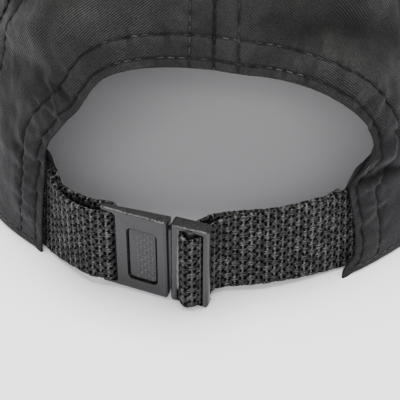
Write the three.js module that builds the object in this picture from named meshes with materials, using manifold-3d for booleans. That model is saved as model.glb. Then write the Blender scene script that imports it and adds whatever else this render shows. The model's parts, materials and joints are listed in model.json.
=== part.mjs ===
// Sports cap with a strap and side buckle across the back opening.
// Millimetres. +Z is up, the peak points to +Y and the buckle faces -Y.
// The shapes are laid out round the axis of the crown, and the whole cap is centred at the end.
import * as THREE from 'three';
import { mergeVertices } from 'three/addons/utils/BufferGeometryUtils.js';
import Module from 'manifold-3d';

const wasm = await Module();
wasm.setup();

// crown
const RIM_HALF_WIDTH = 80;
const RIM_HALF_LENGTH = 98;
const CROWN_HEIGHT = 117;
const BACK_FULLNESS = 1.52;
const SIDE_FULLNESS = 1.95;
const FRONT_FULLNESS = 2.45;
const FRONT_LIFT = 18;
const LIFT_START = THREE.MathUtils.degToRad(80);
const BUTTON_HOLE = 5;
const PANEL_THICK = 1.5;
const PANEL_PUFF = 1.6;
const SEAM_GAP = 0.42;
const GAP = 0.35;
const PANEL_ANGLE = Math.PI / 3;
const CLOTH_HEIGHT = 140;
const FLAT_BY_RIM = 0.15;
const PANEL_STEPS_ROUND = 10;
const PANEL_STEPS_UP = 14;

// where the cloth of the crown is pressed in: angle from the back, height share, sizes in mm
const DENTS = [
  { name: 'fold above the arch', angle: 33, share: 0.44, depth: 2.4, length: 22, width: 9, turn: 0 },
  { name: 'left side', angle: -78, share: 0.5, depth: 2.5, length: 26, width: 16, turn: 35 },
  { name: 'right side', angle: 84, share: 0.42, depth: 2.5, length: 28, width: 14, turn: -30 },
  { name: 'front left', angle: -148, share: 0.66, depth: 2, length: 24, width: 15, turn: 20 },
];

// edge of the arch, from its lower left corner over the top to its lower right corner
const ARCH_EDGE = [
  { x: -48.0, z: -4 },
  { x: -47.9, z: 1.3 },
  { x: -47.3, z: 13 },
  { x: -47.0, z: 25 },
  { x: -46.0, z: 32.4 },
  { x: -42.0, z: 38.6 },
  { x: -37.0, z: 45 },
  { x: -30.0, z: 54.2 },
  { x: -20.7, z: 58.4 },
  { x: -8.8, z: 59.7 },
  { x: 6.9, z: 58.3 },
  { x: 17.4, z: 56.5 },
  { x: 28.0, z: 52.4 },
  { x: 36.3, z: 46.7 },
  { x: 42.0, z: 40.2 },
  { x: 43.9, z: 34.1 },
  { x: 40.8, z: 30.8 },
  { x: 37.4, z: 26.5 },
  { x: 38.3, z: 20 },
  { x: 39.6, z: 12.5 },
  { x: 39.3, z: 2 },
  { x: 38.3, z: -4 },
];
const ARCH_STEPS = 66;
const ARCH_CUT_BACK = -125;
const ARCH_CUT_FRONT = -20;

// peak
const PEAK_SPAN = THREE.MathUtils.degToRad(66);
const PEAK_HALF_WIDTH = 80;
const PEAK_CORNER_Y = 37;
const PEAK_REACH = 166;
const PEAK_ROUNDNESS = 0.85;
const PEAK_CORNER_SHARE = 0.07;
const PEAK_CORNER_KEPT = 0.12;
const PEAK_ARCH = 20;
const PEAK_THICK = 3;
const PEAK_GAP = 0.45;
const PEAK_STEPS_ACROSS = 28;
const PEAK_STEPS_OUT = 8;

// top button
const BUTTON_RADIUS = 7.5;
const BUTTON_HEIGHT = 4.2;
const BUTTON_SHANK = 3;
const BUTTON_EDGE = 0.8;
const CRIMP_RADIUS = 5.5;
const CRIMP_THICK = 0.8;
const CRIMP_DROP = 4.6;
const DOME_STEPS = 6;
const BUTTON_SIDES = 28;

// sweatband
const BAND_HEIGHT = 33;
const BAND_THICK = 1.2;
const BAND_START = { bottom: THREE.MathUtils.degToRad(29.0), top: THREE.MathUtils.degToRad(31.5) };
const BAND_END = { bottom: THREE.MathUtils.degToRad(321.6), top: THREE.MathUtils.degToRad(320.4) };
const BAND_END_DROP = 5.5;
const BAND_END_SHARE = 0.06;
const BAND_GAP = 0.7;
const BAND_EXTRA_INSET = 4;
const BAND_EXTRA_FLAT = THREE.MathUtils.degToRad(17);
const BAND_EXTRA_SPAN = THREE.MathUtils.degToRad(16);
const BAND_STEPS_ROUND = 56;
const BAND_STEPS_UP = 4;

// webbing
const WEB_THICK = 1.3;
const WEB_BOTTOM = 1.9;
const WEB_TOP = 26.7;
const WEB_GAP = 0.6;

// buckle: its faces are turned in plan, lean out at the top and are rolled a little to the right
const BUCKLE_HEIGHT = 28;
const BUCKLE_TILT = THREE.MathUtils.degToRad(3.6);
const RAIL = 1.25;
const SOCKET_PLACE = { x: -19, y: -95.1, z: 0.6 };
const SOCKET_TURN = THREE.MathUtils.degToRad(-20.5);
const SOCKET_ROLL = THREE.MathUtils.degToRad(1.2);
const SOCKET_LEFT = -6.92;
const SOCKET_RIGHT = 7.74;
const SOCKET_ARM = -11.7;
const SOCKET_THICK = 4.6;
const SOCKET_TAPER = { atArm: 1.1, atJoint: 3.2 };
const TAPER_SLOPE = 0.95;
const ARM_SETBACK = { front: 0.1, back: 0.4 };
const SOCKET_BAR = { u: -10.05, depth: 2.0, radius: 1.0 };
const WINDOW = { left: -3.84, right: 5, bottom: 4, top: 22.8, corner: 1.6 };
const WINDOW_CUT_BACK = 1.6;
const CAVITY = { left: -5.4, bottom: 2.3, top: 25.1, front: 1.1, back: 3.5 };
const TONGUE = { left: -4.7, bottom: 2.7, top: 24.7, front: 1.45, back: 3.15 };
const TONGUE_INTO_FRAME = 0.8;
const PAD_INSET = 0.4;
const PAD = { front: 0.5, back: 2.85 };
const SLIDER_TURN = THREE.MathUtils.degToRad(-17);
const SLIDER_ROLL = THREE.MathUtils.degToRad(1.6);
const SLIDER_LENGTH = 10.95;
const SLIDER_THICK = 4.1;
const SLIDER_BOTTOM_RAIL = 0.7;
const JOINT_GAP = 0.6;
const SLIDER_LEFT_BAR = 2;
const SLIDER_RIGHT_BAR = { width: 1.5, thick: 1.7 };
const SLIDER_BAR = { u: 5.65, depth: 0.95, radius: 1.5 };
const BUCKLE_BEVEL = 0.35;
const BUCKLE_CORNER = 0.9;
const ARM_BEVEL = 0.25;
const PAD_BEVEL = 0.2;
const OVERLAP = 2;
const BAR_SIDES = 16;
const BAR_GAP = 0.42;

// height of the webbing's lower edge above the buckle's foot, in each half and on the loop's front
const WEB_IN_SOCKET = 1.6;
const WEB_IN_SLIDER = 1.1;
const WEB_LOOP_FRONT = 0.2;

// colours
const CLOTH = new THREE.MeshStandardMaterial({ color: '#3a3b3b', roughness: 0.8, metalness: 0 });
const BAND_CLOTH = new THREE.MeshStandardMaterial({ color: '#252527', roughness: 0.9, metalness: 0 });
const WEBBING = new THREE.MeshStandardMaterial({ color: '#2b2b2e', roughness: 0.7, metalness: 0 });
const PLASTIC = new THREE.MeshStandardMaterial({ color: '#55555a', roughness: 0.4, metalness: 0 });

// Angles run from the back of the cap, round its right side to the front.
const smoothStep = (t) => THREE.MathUtils.smoothstep(t, 0, 1);
const signedAngle = (angle) => THREE.MathUtils.euclideanModulo(angle + Math.PI, 2 * Math.PI) - Math.PI;

function fullness(angle) {
  const c = Math.cos(angle);
  const end = c > 0 ? BACK_FULLNESS : FRONT_FULLNESS;
  return SIDE_FULLNESS + (end - SIDE_FULLNESS) * c * c;
}

function rimHeight(angle) {
  return FRONT_LIFT * smoothStep((Math.abs(signedAngle(angle)) - LIFT_START) / (Math.PI - LIFT_START));
}

// Point of the undented crown at a height share of 0 at the rim and 1 at the button's hole.
function crownBase(angle, share) {
  const n = fullness(angle);
  const x = RIM_HALF_WIDTH * Math.sin(angle);
  const y = -RIM_HALF_LENGTH * Math.cos(angle);
  const endOfArc = Math.acos((BUTTON_HOLE / Math.hypot(x, y)) ** (n / 2));
  const arc = Math.max(share, 0) * endOfArc;
  const across = Math.cos(arc) ** (2 / n);
  const up = Math.sin(arc) ** (2 / n);
  const rim = rimHeight(angle);
  return new THREE.Vector3(x * across, y * across, rim + (CROWN_HEIGHT - rim) * up);
}

function crownNormal(angle, share) {
  const e = 0.002;
  const low = Math.min(share, 1 - e);
  const round = crownBase(angle + e, share).sub(crownBase(angle - e, share));
  const up = crownBase(angle, low + e).sub(crownBase(angle, low));
  const out = round.cross(up);
  if (share <= 0) {
    out.setZ(0);
  }
  return out.normalize();
}

// How far the cloth stands out between the seams, less the dents.
function puff(angle, share) {
  const betweenSeams = Math.abs(Math.sin(3 * angle));
  const upThePanel = Math.sin(Math.PI * THREE.MathUtils.clamp(share, 0, 1)) ** 1.5;
  let out = PANEL_PUFF * betweenSeams * upThePanel;
  for (const dent of DENTS) {
    const dentAngle = THREE.MathUtils.degToRad(dent.angle);
    const middle = crownBase(dentAngle, dent.share);
    const round = signedAngle(angle - dentAngle) * Math.hypot(middle.x, middle.y);
    const up = (share - dent.share) * CLOTH_HEIGHT;
    const turn = THREE.MathUtils.degToRad(dent.turn);
    const along = round * Math.cos(turn) + up * Math.sin(turn);
    const across = up * Math.cos(turn) - round * Math.sin(turn);
    out -= dent.depth * Math.exp(-((along / dent.length) ** 2) - (across / dent.width) ** 2);
  }
  return out * smoothStep(share / FLAT_BY_RIM);
}

function crownPoint(angle, share, inset) {
  return crownBase(angle, share).addScaledVector(crownNormal(angle, share), puff(angle, share) - inset);
}

// Height share at which the crown stands so far above its rim.
function shareAt(angle, height) {
  const n = fullness(angle);
  const radius = Math.hypot(RIM_HALF_WIDTH * Math.sin(angle), RIM_HALF_LENGTH * Math.cos(angle));
  const endOfArc = Math.acos((BUTTON_HOLE / radius) ** (n / 2));
  const up = height / (CROWN_HEIGHT - rimHeight(angle));
  return Math.asin(up ** (n / 2)) / endOfArc;
}

// A closed solid between two faces that share their u and v, with its rim filled in.
function sheet(front, back, uSteps, vSteps) {
  const points = [];
  const faces = [];
  const across = vSteps + 1;
  const side = (uSteps + 1) * across;
  for (const face of [front, back]) {
    for (let i = 0; i <= uSteps; i += 1) {
      for (let j = 0; j <= vSteps; j += 1) {
        points.push(face(i / uSteps, j / vSteps));
      }
    }
  }
  const quad = (a, b, c, d) => faces.push(a, b, c, a, c, d);
  for (let i = 0; i < uSteps; i += 1) {
    for (let j = 0; j < vSteps; j += 1) {
      const a = i * across + j;
      quad(a, a + across, a + across + 1, a + 1);
      quad(side + a, side + a + 1, side + a + across + 1, side + a + across);
    }
  }
  for (let i = 0; i < uSteps; i += 1) {
    const low = i * across;
    const high = low + vSteps;
    quad(low, side + low, side + low + across, low + across);
    quad(high, high + across, side + high + across, side + high);
  }
  for (let j = 0; j < vSteps; j += 1) {
    const first = j;
    const last = uSteps * across + j;
    quad(first, first + 1, side + first + 1, side + first);
    quad(last, side + last, side + last + 1, last + 1);
  }
  return solidGeometry(points, faces);
}

function solidGeometry(points, faces) {
  const geometry = new THREE.BufferGeometry();
  const places = points.flatMap((p) => [p.x, p.y, p.z]);
  geometry.setAttribute('position', new THREE.Float32BufferAttribute(places, 3));
  let volume = 0;
  for (let k = 0; k < faces.length; k += 3) {
    const [a, b, c] = [points[faces[k]], points[faces[k + 1]], points[faces[k + 2]]];
    volume += a.dot(new THREE.Vector3().crossVectors(b, c));
  }
  if (volume < 0) {
    faces.reverse();
  }
  geometry.setIndex(faces);
  return geometry;
}

function toManifold(geometry) {
  const bare = geometry.clone();
  bare.deleteAttribute('normal');
  bare.deleteAttribute('uv');
  const merged = mergeVertices(bare, 1e-4);
  const vertProperties = new Float32Array(merged.attributes.position.array);
  const triVerts = new Uint32Array(merged.index.array);
  return new wasm.Manifold(new wasm.Mesh({ numProp: 3, vertProperties, triVerts }));
}

function fromManifold(manifold) {
  const mesh = manifold.getMesh();
  const geometry = new THREE.BufferGeometry();
  geometry.setAttribute('position', new THREE.Float32BufferAttribute(mesh.vertProperties, 3));
  geometry.setIndex([...mesh.triVerts]);
  return geometry;
}

// crown: six gores
function gore(startAngle) {
  const face = (inset) => (u, v) => {
    const middle = startAngle + u * PANEL_ANGLE;
    const point = crownBase(middle, v);
    const halfGap = SEAM_GAP / 2 / Math.hypot(point.x, point.y);
    const angle = startAngle + halfGap + u * (PANEL_ANGLE - 2 * halfGap);
    return crownPoint(angle, v, inset);
  };
  return sheet(face(0), face(PANEL_THICK), PANEL_STEPS_ROUND, PANEL_STEPS_UP);
}

function archCutter() {
  const edge = new THREE.SplineCurve(ARCH_EDGE.map((p) => new THREE.Vector2(p.x, p.z)));
  const outline = new THREE.Shape(edge.getPoints(ARCH_STEPS));
  const depth = ARCH_CUT_FRONT - ARCH_CUT_BACK;
  const cutter = new THREE.ExtrudeGeometry(outline, { depth, bevelEnabled: false });
  cutter.rotateX(Math.PI / 2);
  cutter.translate(0, ARCH_CUT_FRONT, 0);
  return toManifold(cutter);
}

const arch = archCutter();
const withArch = (geometry) => fromManifold(toManifold(geometry).subtract(arch));

// peak: ruled from the lifted front rim to its rounded outer edge
function peakFace(rise) {
  return (u, v) => {
    const aside = 2 * u - 1;
    const angle = Math.PI - aside * PEAK_SPAN;
    const rim = crownBase(angle, 0);
    const inner = rim.addScaledVector(crownNormal(angle, 0), PEAK_GAP);
    const turn = (aside * Math.PI) / 2;
    const x = PEAK_HALF_WIDTH * Math.sin(turn);
    const y = PEAK_CORNER_Y + (PEAK_REACH - PEAK_CORNER_Y) * Math.abs(Math.cos(turn)) ** PEAK_ROUNDNESS;
    const z = PEAK_ARCH * (1 - (x / PEAK_HALF_WIDTH) ** 2);
    const toEnd = Math.min((1 - Math.abs(aside)) / PEAK_CORNER_SHARE, 1);
    const full = PEAK_CORNER_KEPT + (1 - PEAK_CORNER_KEPT) * Math.sqrt(1 - (1 - toEnd) ** 2);
    const outer = inner.clone().lerp(new THREE.Vector3(x, y, z), full);
    const point = inner.lerp(outer, v);
    point.z += rise;
    return point;
  };
}

// top button: a dome with a shank and a crimped end below the crown's top
function buttonProfile() {
  const seat = CROWN_HEIGHT + GAP;
  const rise = BUTTON_HEIGHT - BUTTON_EDGE;
  const crimpTop = CROWN_HEIGHT - CRIMP_DROP;
  const dome = [];
  for (let k = 0; k <= DOME_STEPS; k += 1) {
    const turn = (k / DOME_STEPS) * (Math.PI / 2);
    const height = seat + BUTTON_EDGE + rise * Math.sin(turn);
    dome.push(new THREE.Vector2(BUTTON_RADIUS * Math.cos(turn), height));
  }
  return [
    new THREE.Vector2(0, crimpTop - CRIMP_THICK),
    new THREE.Vector2(CRIMP_RADIUS, crimpTop - CRIMP_THICK),
    new THREE.Vector2(CRIMP_RADIUS, crimpTop),
    new THREE.Vector2(BUTTON_SHANK, crimpTop + CRIMP_THICK / 2),
    new THREE.Vector2(BUTTON_SHANK, seat),
    new THREE.Vector2(BUTTON_RADIUS, seat),
    ...dome,
  ];
}

function buttonGeometry() {
  const geometry = new THREE.LatheGeometry(buttonProfile(), BUTTON_SIDES);
  geometry.rotateX(Math.PI / 2);
  return fromManifold(toManifold(geometry));
}

// sweatband: follows the rim inside, leaves room for the webbing and is lower at its two slanted ends
function bandInset(angle, start, end) {
  const fromEnd = Math.min(angle - start, end - angle);
  const ease = smoothStep((fromEnd - BAND_EXTRA_FLAT) / BAND_EXTRA_SPAN);
  return PANEL_THICK + BAND_GAP + BAND_EXTRA_INSET * (1 - ease);
}

function bandFace(extra) {
  return (u, v) => {
    const start = THREE.MathUtils.lerp(BAND_START.bottom, BAND_START.top, v);
    const end = THREE.MathUtils.lerp(BAND_END.bottom, BAND_END.top, v);
    const angle = THREE.MathUtils.lerp(start, end, u);
    const lower = BAND_END_DROP * (1 - smoothStep(Math.min(u, 1 - u) / BAND_END_SHARE));
    const height = v * (BAND_HEIGHT - lower);
    return crownPoint(angle, shareAt(angle, height), bandInset(angle, start, end) + extra);
  };
}

// webbing: a ribbon on edge between a lower and an upper path, both on the middle of its thickness
function station(lowX, lowY, highX, highY, drop = 0) {
  const low = new THREE.Vector3(lowX, lowY, WEB_BOTTOM - drop);
  const high = new THREE.Vector3(highX, highY, WEB_TOP - drop);
  return { low, high };
}

function insideWall(degrees, inset, drop = 0) {
  const angle = THREE.MathUtils.degToRad(degrees);
  const low = crownPoint(angle, shareAt(angle, WEB_BOTTOM), inset);
  const high = crownPoint(angle, shareAt(angle, WEB_TOP), inset);
  return station(low.x, low.y, high.x, high.y, drop);
}

// The same place on a second layer that lies so far inside, a little lower.
function layerBehind({ low, high }, distance, drop = 0) {
  const moved = (point) => {
    const inward = new THREE.Vector3(-point.x / RIM_HALF_WIDTH ** 2, -point.y / RIM_HALF_LENGTH ** 2, 0);
    const out = point.clone().addScaledVector(inward.normalize(), distance);
    out.z -= drop;
    return out;
  };
  return { low: moved(low), high: moved(high) };
}

function ribbon(stations, steps) {
  const lowPath = new THREE.CatmullRomCurve3(stations.map((p) => p.low), false, 'centripetal');
  const highPath = new THREE.CatmullRomCurve3(stations.map((p) => p.high), false, 'centripetal');
  const face = (offset) => (u, v) => {
    const way = lowPath.getTangent(u).lerp(highPath.getTangent(u), v).setZ(0).normalize();
    const point = lowPath.getPoint(u).lerp(highPath.getPoint(u), v);
    return point.add(new THREE.Vector3(-way.y * offset, way.x * offset, 0));
  };
  return sheet(face(WEB_THICK / 2), face(-WEB_THICK / 2), steps, 2);
}

// The buckle's halves are drawn along their face, inward and up from their foot.
function buckleFrame(place, turn, roll) {
  return new THREE.Matrix4()
    .makeTranslation(place.x, place.y, place.z)
    .multiply(new THREE.Matrix4().makeRotationZ(turn))
    .multiply(new THREE.Matrix4().makeRotationY(roll))
    .multiply(new THREE.Matrix4().makeRotationX(BUCKLE_TILT));
}

const SOCKET_FRAME = buckleFrame(SOCKET_PLACE, SOCKET_TURN, SOCKET_ROLL);
const SLIDER_PLACE = new THREE.Vector3(SOCKET_RIGHT + JOINT_GAP, 0, 0).applyMatrix4(SOCKET_FRAME);
const SLIDER_FRAME = buckleFrame(SLIDER_PLACE, SLIDER_TURN, SLIDER_ROLL);
const WEB_WIDTH = WEB_TOP - WEB_BOTTOM;

function onBuckle(frame, along, depth, foot) {
  return {
    low: new THREE.Vector3(along, depth, foot).applyMatrix4(frame),
    high: new THREE.Vector3(along, depth, foot + WEB_WIDTH).applyMatrix4(frame),
  };
}

const atSocket = (along, depth) => onBuckle(SOCKET_FRAME, along, depth, WEB_IN_SOCKET);
const atSlider = (along, depth) => onBuckle(SLIDER_FRAME, along, depth, WEB_IN_SLIDER);

// In front of the slider's face the loop hangs over its bottom rail.
function atLoop(along, depth) {
  const proud = smoothStep((-depth - WEB_THICK / 2 - GAP) / WEB_THICK);
  return onBuckle(SLIDER_FRAME, along, depth, WEB_IN_SLIDER + (WEB_LOOP_FRONT - WEB_IN_SLIDER) * proud);
}

const LAYER_INSET = PANEL_THICK + WEB_GAP + WEB_THICK / 2;
const LAYER_STEP = WEB_THICK + GAP;

// Stations round a bar, from one turn to another in degrees, anticlockwise seen from above if rising.
function roundBar(toBuckle, bar, start, end, count) {
  const radius = bar.radius + BAR_GAP + WEB_THICK / 2;
  const stations = [];
  for (let k = 0; k <= count; k += 1) {
    const turn = THREE.MathUtils.degToRad(start + ((end - start) * k) / count);
    stations.push(toBuckle(bar.u + radius * Math.cos(turn), bar.depth + radius * Math.sin(turn)));
  }
  return stations;
}

const LEFT_HEM_DROP = 1.2;
const leftFront = [
  station(-46.1, -77.0, -44.9, -72.8, 1.4),
  station(-42.7, -81.1, -42.4, -81.0, 1.1),
  station(-39.4, -84.5, -39.4, -86.4, 0.7),
  station(-36.2, -87.6, -36.2, -89.6, 0.2),
  station(-33.0, -90.4, -33.0, -92.2, -0.35),
];
const leftBack = [
  layerBehind(leftFront[4], 4.1, -0.25),
  layerBehind(leftFront[3], 3.9),
  layerBehind(leftFront[2], 3.3),
  layerBehind(leftFront[1], 2.0, 0.3),
  layerBehind(leftFront[0], 1.7, 0.4),
];
const strapLeftPath = [
  insideWall(-50, LAYER_INSET, LEFT_HEM_DROP),
  insideWall(-43, LAYER_INSET, LEFT_HEM_DROP),
  insideWall(-38.5, LAYER_INSET, LEFT_HEM_DROP),
  ...leftFront,
  ...roundBar(atSocket, SOCKET_BAR, -90, 90, 6),
  ...leftBack,
  insideWall(-38.5, LAYER_INSET + LAYER_STEP, LEFT_HEM_DROP),
  insideWall(-43, LAYER_INSET + LAYER_STEP, LEFT_HEM_DROP),
  insideWall(-50, LAYER_INSET + LAYER_STEP, LEFT_HEM_DROP),
];

const rightFront = [
  station(36.1, -82.8, 35.1, -80.8, 1.4),
  station(32.0, -84.9, 31.8, -84.0, 1.2),
  station(28.4, -86.7, 28.4, -85.8, 0.9),
  station(23.6, -88.9, 23.6, -88.0, 0.6),
  station(18.9, -90.5, 18.9, -90.0, 0.3),
  station(14.2, -92.0, 14.2, -91.6, 0.1),
  station(9.6, -92.6, 9.6, -92.4, 0.25),
  station(5.0, -93.0, 5.0, -93.1, 0.4),
];
const RIGHT_HEM_DROP = 1.4;
const TAIL_DROPS = [0.1, 0.35, 0.5, 0.8, 0.9, 0.5, 0, -0.55];
const TAIL_RISE = [0.6, 0.8];
const tail = rightFront.map((place, k) => layerBehind(place, LAYER_STEP + 0.04, TAIL_DROPS[k])).reverse();
const strapRightPath = [
  insideWall(43, LAYER_INSET, RIGHT_HEM_DROP),
  insideWall(36, LAYER_INSET, RIGHT_HEM_DROP),
  insideWall(31, LAYER_INSET, RIGHT_HEM_DROP),
  ...rightFront,
  atSlider(10.6, 7.1),
  atSlider(9.7, 5.2),
  atSlider(8.55, 2.4),
  ...roundBar(atLoop, SLIDER_BAR, -20, -245, 10),
  onBuckle(SLIDER_FRAME, 6.3, 5.4, WEB_IN_SLIDER + TAIL_RISE[0]),
  onBuckle(SLIDER_FRAME, 8.9, 8.5, WEB_IN_SLIDER + TAIL_RISE[1]),
  ...tail,
];

// Buckle pieces are drawn along the face and up, and go inward by their thickness.
function roundedOutline(left, right, bottom, top, corner) {
  const outline = new THREE.Shape();
  outline.moveTo(left + corner, bottom);
  outline.lineTo(right - corner, bottom);
  outline.absarc(right - corner, bottom + corner, corner, -Math.PI / 2, 0, false);
  outline.lineTo(right, top - corner);
  outline.absarc(right - corner, top - corner, corner, 0, Math.PI / 2, false);
  outline.lineTo(left + corner, top);
  outline.absarc(left + corner, top - corner, corner, Math.PI / 2, Math.PI, false);
  outline.lineTo(left, bottom + corner);
  outline.absarc(left + corner, bottom + corner, corner, Math.PI, Math.PI * 1.5, false);
  return outline;
}

function block({ left, right, bottom, top, front, back, corner = 0.3, bevel = 0 }) {
  const outline = roundedOutline(left + bevel, right - bevel, bottom + bevel, top - bevel, corner);
  const geometry = new THREE.ExtrudeGeometry(outline, {
    depth: back - front - 2 * bevel,
    bevelEnabled: bevel > 0,
    bevelThickness: bevel,
    bevelSize: bevel,
    bevelSegments: 1,
    curveSegments: 4,
  });
  geometry.rotateX(Math.PI / 2);
  geometry.translate(0, back - bevel, 0);
  return toManifold(geometry);
}

function uprightBar(bar) {
  const geometry = new THREE.CylinderGeometry(bar.radius, bar.radius, BUCKLE_HEIGHT - RAIL, BAR_SIDES);
  geometry.rotateX(Math.PI / 2);
  geometry.translate(bar.u, bar.depth, BUCKLE_HEIGHT / 2);
  return toManifold(geometry);
}

const FULL_HEIGHT = { bottom: 0, top: BUCKLE_HEIGHT };
const TOP_RAIL = { bottom: BUCKLE_HEIGHT - RAIL, top: BUCKLE_HEIGHT };
const BOTTOM_RAIL = { bottom: 0, top: RAIL };
const SLIDER_OPENING = { bottom: SLIDER_BOTTOM_RAIL, top: BUCKLE_HEIGHT - RAIL };

// What the socket lacks at its back edges, more of it towards the webbing.
function taper(upward) {
  const ends = [
    { u: SOCKET_ARM - OVERLAP, depth: SOCKET_TAPER.atArm },
    { u: SOCKET_RIGHT + OVERLAP, depth: SOCKET_TAPER.atJoint },
  ];
  const corners = ends.flatMap(({ u, depth }) => {
    const back = SOCKET_THICK + OVERLAP;
    const across = [
      [depth, 0],
      [back, 0],
      [back, (back - depth) * TAPER_SLOPE],
    ];
    return across.map(([inward, down]) => [u, inward, upward ? BUCKLE_HEIGHT - down : down]);
  });
  return wasm.Manifold.hull(corners);
}

function socketSolid() {
  const face = { left: SOCKET_LEFT, right: SOCKET_RIGHT, front: 0, back: SOCKET_THICK };
  const arm = {
    left: SOCKET_ARM,
    right: SOCKET_LEFT + OVERLAP,
    front: ARM_SETBACK.front,
    back: SOCKET_THICK - ARM_SETBACK.back,
    bevel: ARM_BEVEL,
  };
  const body = block({ ...face, ...FULL_HEIGHT, corner: BUCKLE_CORNER, bevel: BUCKLE_BEVEL });
  const topArm = block({ ...arm, ...TOP_RAIL });
  const bottomArm = block({ ...arm, ...BOTTOM_RAIL });
  const cavity = block({ ...CAVITY, right: SOCKET_RIGHT + OVERLAP });
  const opening = block({ ...WINDOW, front: -OVERLAP, back: WINDOW_CUT_BACK });
  const whole = body.add(topArm).add(bottomArm).add(uprightBar(SOCKET_BAR)).subtract(cavity).subtract(opening);
  return whole.subtract(taper(true)).subtract(taper(false));
}

function tongueSolid() {
  const plate = block({ ...TONGUE, right: SOCKET_RIGHT + JOINT_GAP + TONGUE_INTO_FRAME });
  const pad = block({
    ...PAD,
    left: WINDOW.left + PAD_INSET,
    right: WINDOW.right - PAD_INSET,
    bottom: WINDOW.bottom + PAD_INSET,
    top: WINDOW.top - PAD_INSET,
    corner: WINDOW.corner - PAD_INSET,
    bevel: PAD_BEVEL,
  });
  return plate.add(pad);
}

function sliderSolid() {
  const barLeft = SLIDER_LENGTH - SLIDER_RIGHT_BAR.width;
  const through = SLIDER_THICK + OVERLAP;
  const face = { left: 0, right: SLIDER_LENGTH, front: 0, back: SLIDER_THICK };
  const frame = block({ ...face, ...FULL_HEIGHT, corner: BUCKLE_CORNER, bevel: BUCKLE_BEVEL });
  const slot = block({
    left: SLIDER_LEFT_BAR,
    right: barLeft,
    ...SLIDER_OPENING,
    front: -OVERLAP,
    back: through,
  });
  const behindBar = block({
    left: barLeft - OVERLAP / 2,
    right: SLIDER_LENGTH + OVERLAP,
    ...SLIDER_OPENING,
    front: SLIDER_RIGHT_BAR.thick,
    back: through,
  });
  return frame.subtract(slot).subtract(behindBar).add(uprightBar(SLIDER_BAR));
}

function placed(manifold, frame) {
  const geometry = fromManifold(manifold);
  geometry.applyMatrix4(frame);
  return geometry;
}

function buckleTongue() {
  const tongue = toManifold(placed(tongueSolid(), SOCKET_FRAME));
  const slider = toManifold(placed(sliderSolid(), SLIDER_FRAME));
  return fromManifold(tongue.add(slider));
}

const cap = new THREE.Group();

function addPiece(name, geometry, material) {
  const mesh = new THREE.Mesh(geometry, material);
  mesh.name = name;
  cap.add(mesh);
}

addPiece('panel_back_right', withArch(gore(0)), CLOTH);
addPiece('panel_side_right', gore(PANEL_ANGLE), CLOTH);
addPiece('panel_front_right', gore(2 * PANEL_ANGLE), CLOTH);
addPiece('panel_front_left', gore(3 * PANEL_ANGLE), CLOTH);
addPiece('panel_side_left', gore(4 * PANEL_ANGLE), CLOTH);
addPiece('panel_back_left', withArch(gore(5 * PANEL_ANGLE)), CLOTH);
addPiece('peak', sheet(peakFace(PEAK_THICK), peakFace(0), PEAK_STEPS_ACROSS, PEAK_STEPS_OUT), CLOTH);
addPiece('top_button', buttonGeometry(), CLOTH);
const band = sheet(bandFace(0), bandFace(BAND_THICK), BAND_STEPS_ROUND, BAND_STEPS_UP);
addPiece('sweatband', band, BAND_CLOTH);
addPiece('strap_left', ribbon(strapLeftPath, 52), WEBBING);
addPiece('buckle_socket', placed(socketSolid(), SOCKET_FRAME), PLASTIC);
addPiece('buckle_tongue', buckleTongue(), PLASTIC);
addPiece('strap_right', ribbon(strapRightPath, 84), WEBBING);

// The cap is centred on its outer box and stands on z = 0.
const box = new THREE.Box3().setFromObject(cap);
const middle = box.getCenter(new THREE.Vector3());
for (const mesh of cap.children) {
  mesh.geometry.translate(-middle.x, -middle.y, -box.min.z);
}

export default cap;
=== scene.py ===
import json

import bpy
import bmesh
import numpy as np
from mathutils import Matrix, Vector
from mathutils.kdtree import KDTree

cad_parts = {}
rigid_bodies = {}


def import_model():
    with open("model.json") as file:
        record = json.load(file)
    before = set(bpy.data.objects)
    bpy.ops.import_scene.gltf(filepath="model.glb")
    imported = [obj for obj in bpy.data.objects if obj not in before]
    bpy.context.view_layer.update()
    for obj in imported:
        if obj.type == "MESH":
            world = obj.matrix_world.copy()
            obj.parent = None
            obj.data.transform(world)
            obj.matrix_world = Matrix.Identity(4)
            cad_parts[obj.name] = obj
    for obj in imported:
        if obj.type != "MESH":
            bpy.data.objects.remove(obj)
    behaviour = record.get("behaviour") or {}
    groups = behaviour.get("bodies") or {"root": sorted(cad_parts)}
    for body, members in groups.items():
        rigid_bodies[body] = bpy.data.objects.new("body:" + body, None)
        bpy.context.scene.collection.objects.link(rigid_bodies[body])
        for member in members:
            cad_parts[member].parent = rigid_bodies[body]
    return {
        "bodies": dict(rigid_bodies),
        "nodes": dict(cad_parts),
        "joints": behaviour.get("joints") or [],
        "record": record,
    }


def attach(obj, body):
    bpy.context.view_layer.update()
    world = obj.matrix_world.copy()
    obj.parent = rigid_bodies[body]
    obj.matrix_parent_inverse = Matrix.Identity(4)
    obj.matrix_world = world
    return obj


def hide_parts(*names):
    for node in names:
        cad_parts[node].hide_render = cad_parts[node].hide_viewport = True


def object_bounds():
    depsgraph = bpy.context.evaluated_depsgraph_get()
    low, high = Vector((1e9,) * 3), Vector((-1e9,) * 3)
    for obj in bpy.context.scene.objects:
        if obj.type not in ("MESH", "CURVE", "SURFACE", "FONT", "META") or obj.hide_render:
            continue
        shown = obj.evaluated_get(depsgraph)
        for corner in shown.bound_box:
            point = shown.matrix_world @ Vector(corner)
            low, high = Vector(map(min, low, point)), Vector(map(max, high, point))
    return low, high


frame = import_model()
cad_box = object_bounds()

# Sizes are in millimetres round the crown's axis, and meshes are made in metres.
MM = 0.001
DEG = np.pi / 180
FAR = 1e9
NO_STITCH = 9.0
PEAK_REACH = 166.0
CAP_Y = cad_box[1][1] / MM - PEAK_REACH

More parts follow.
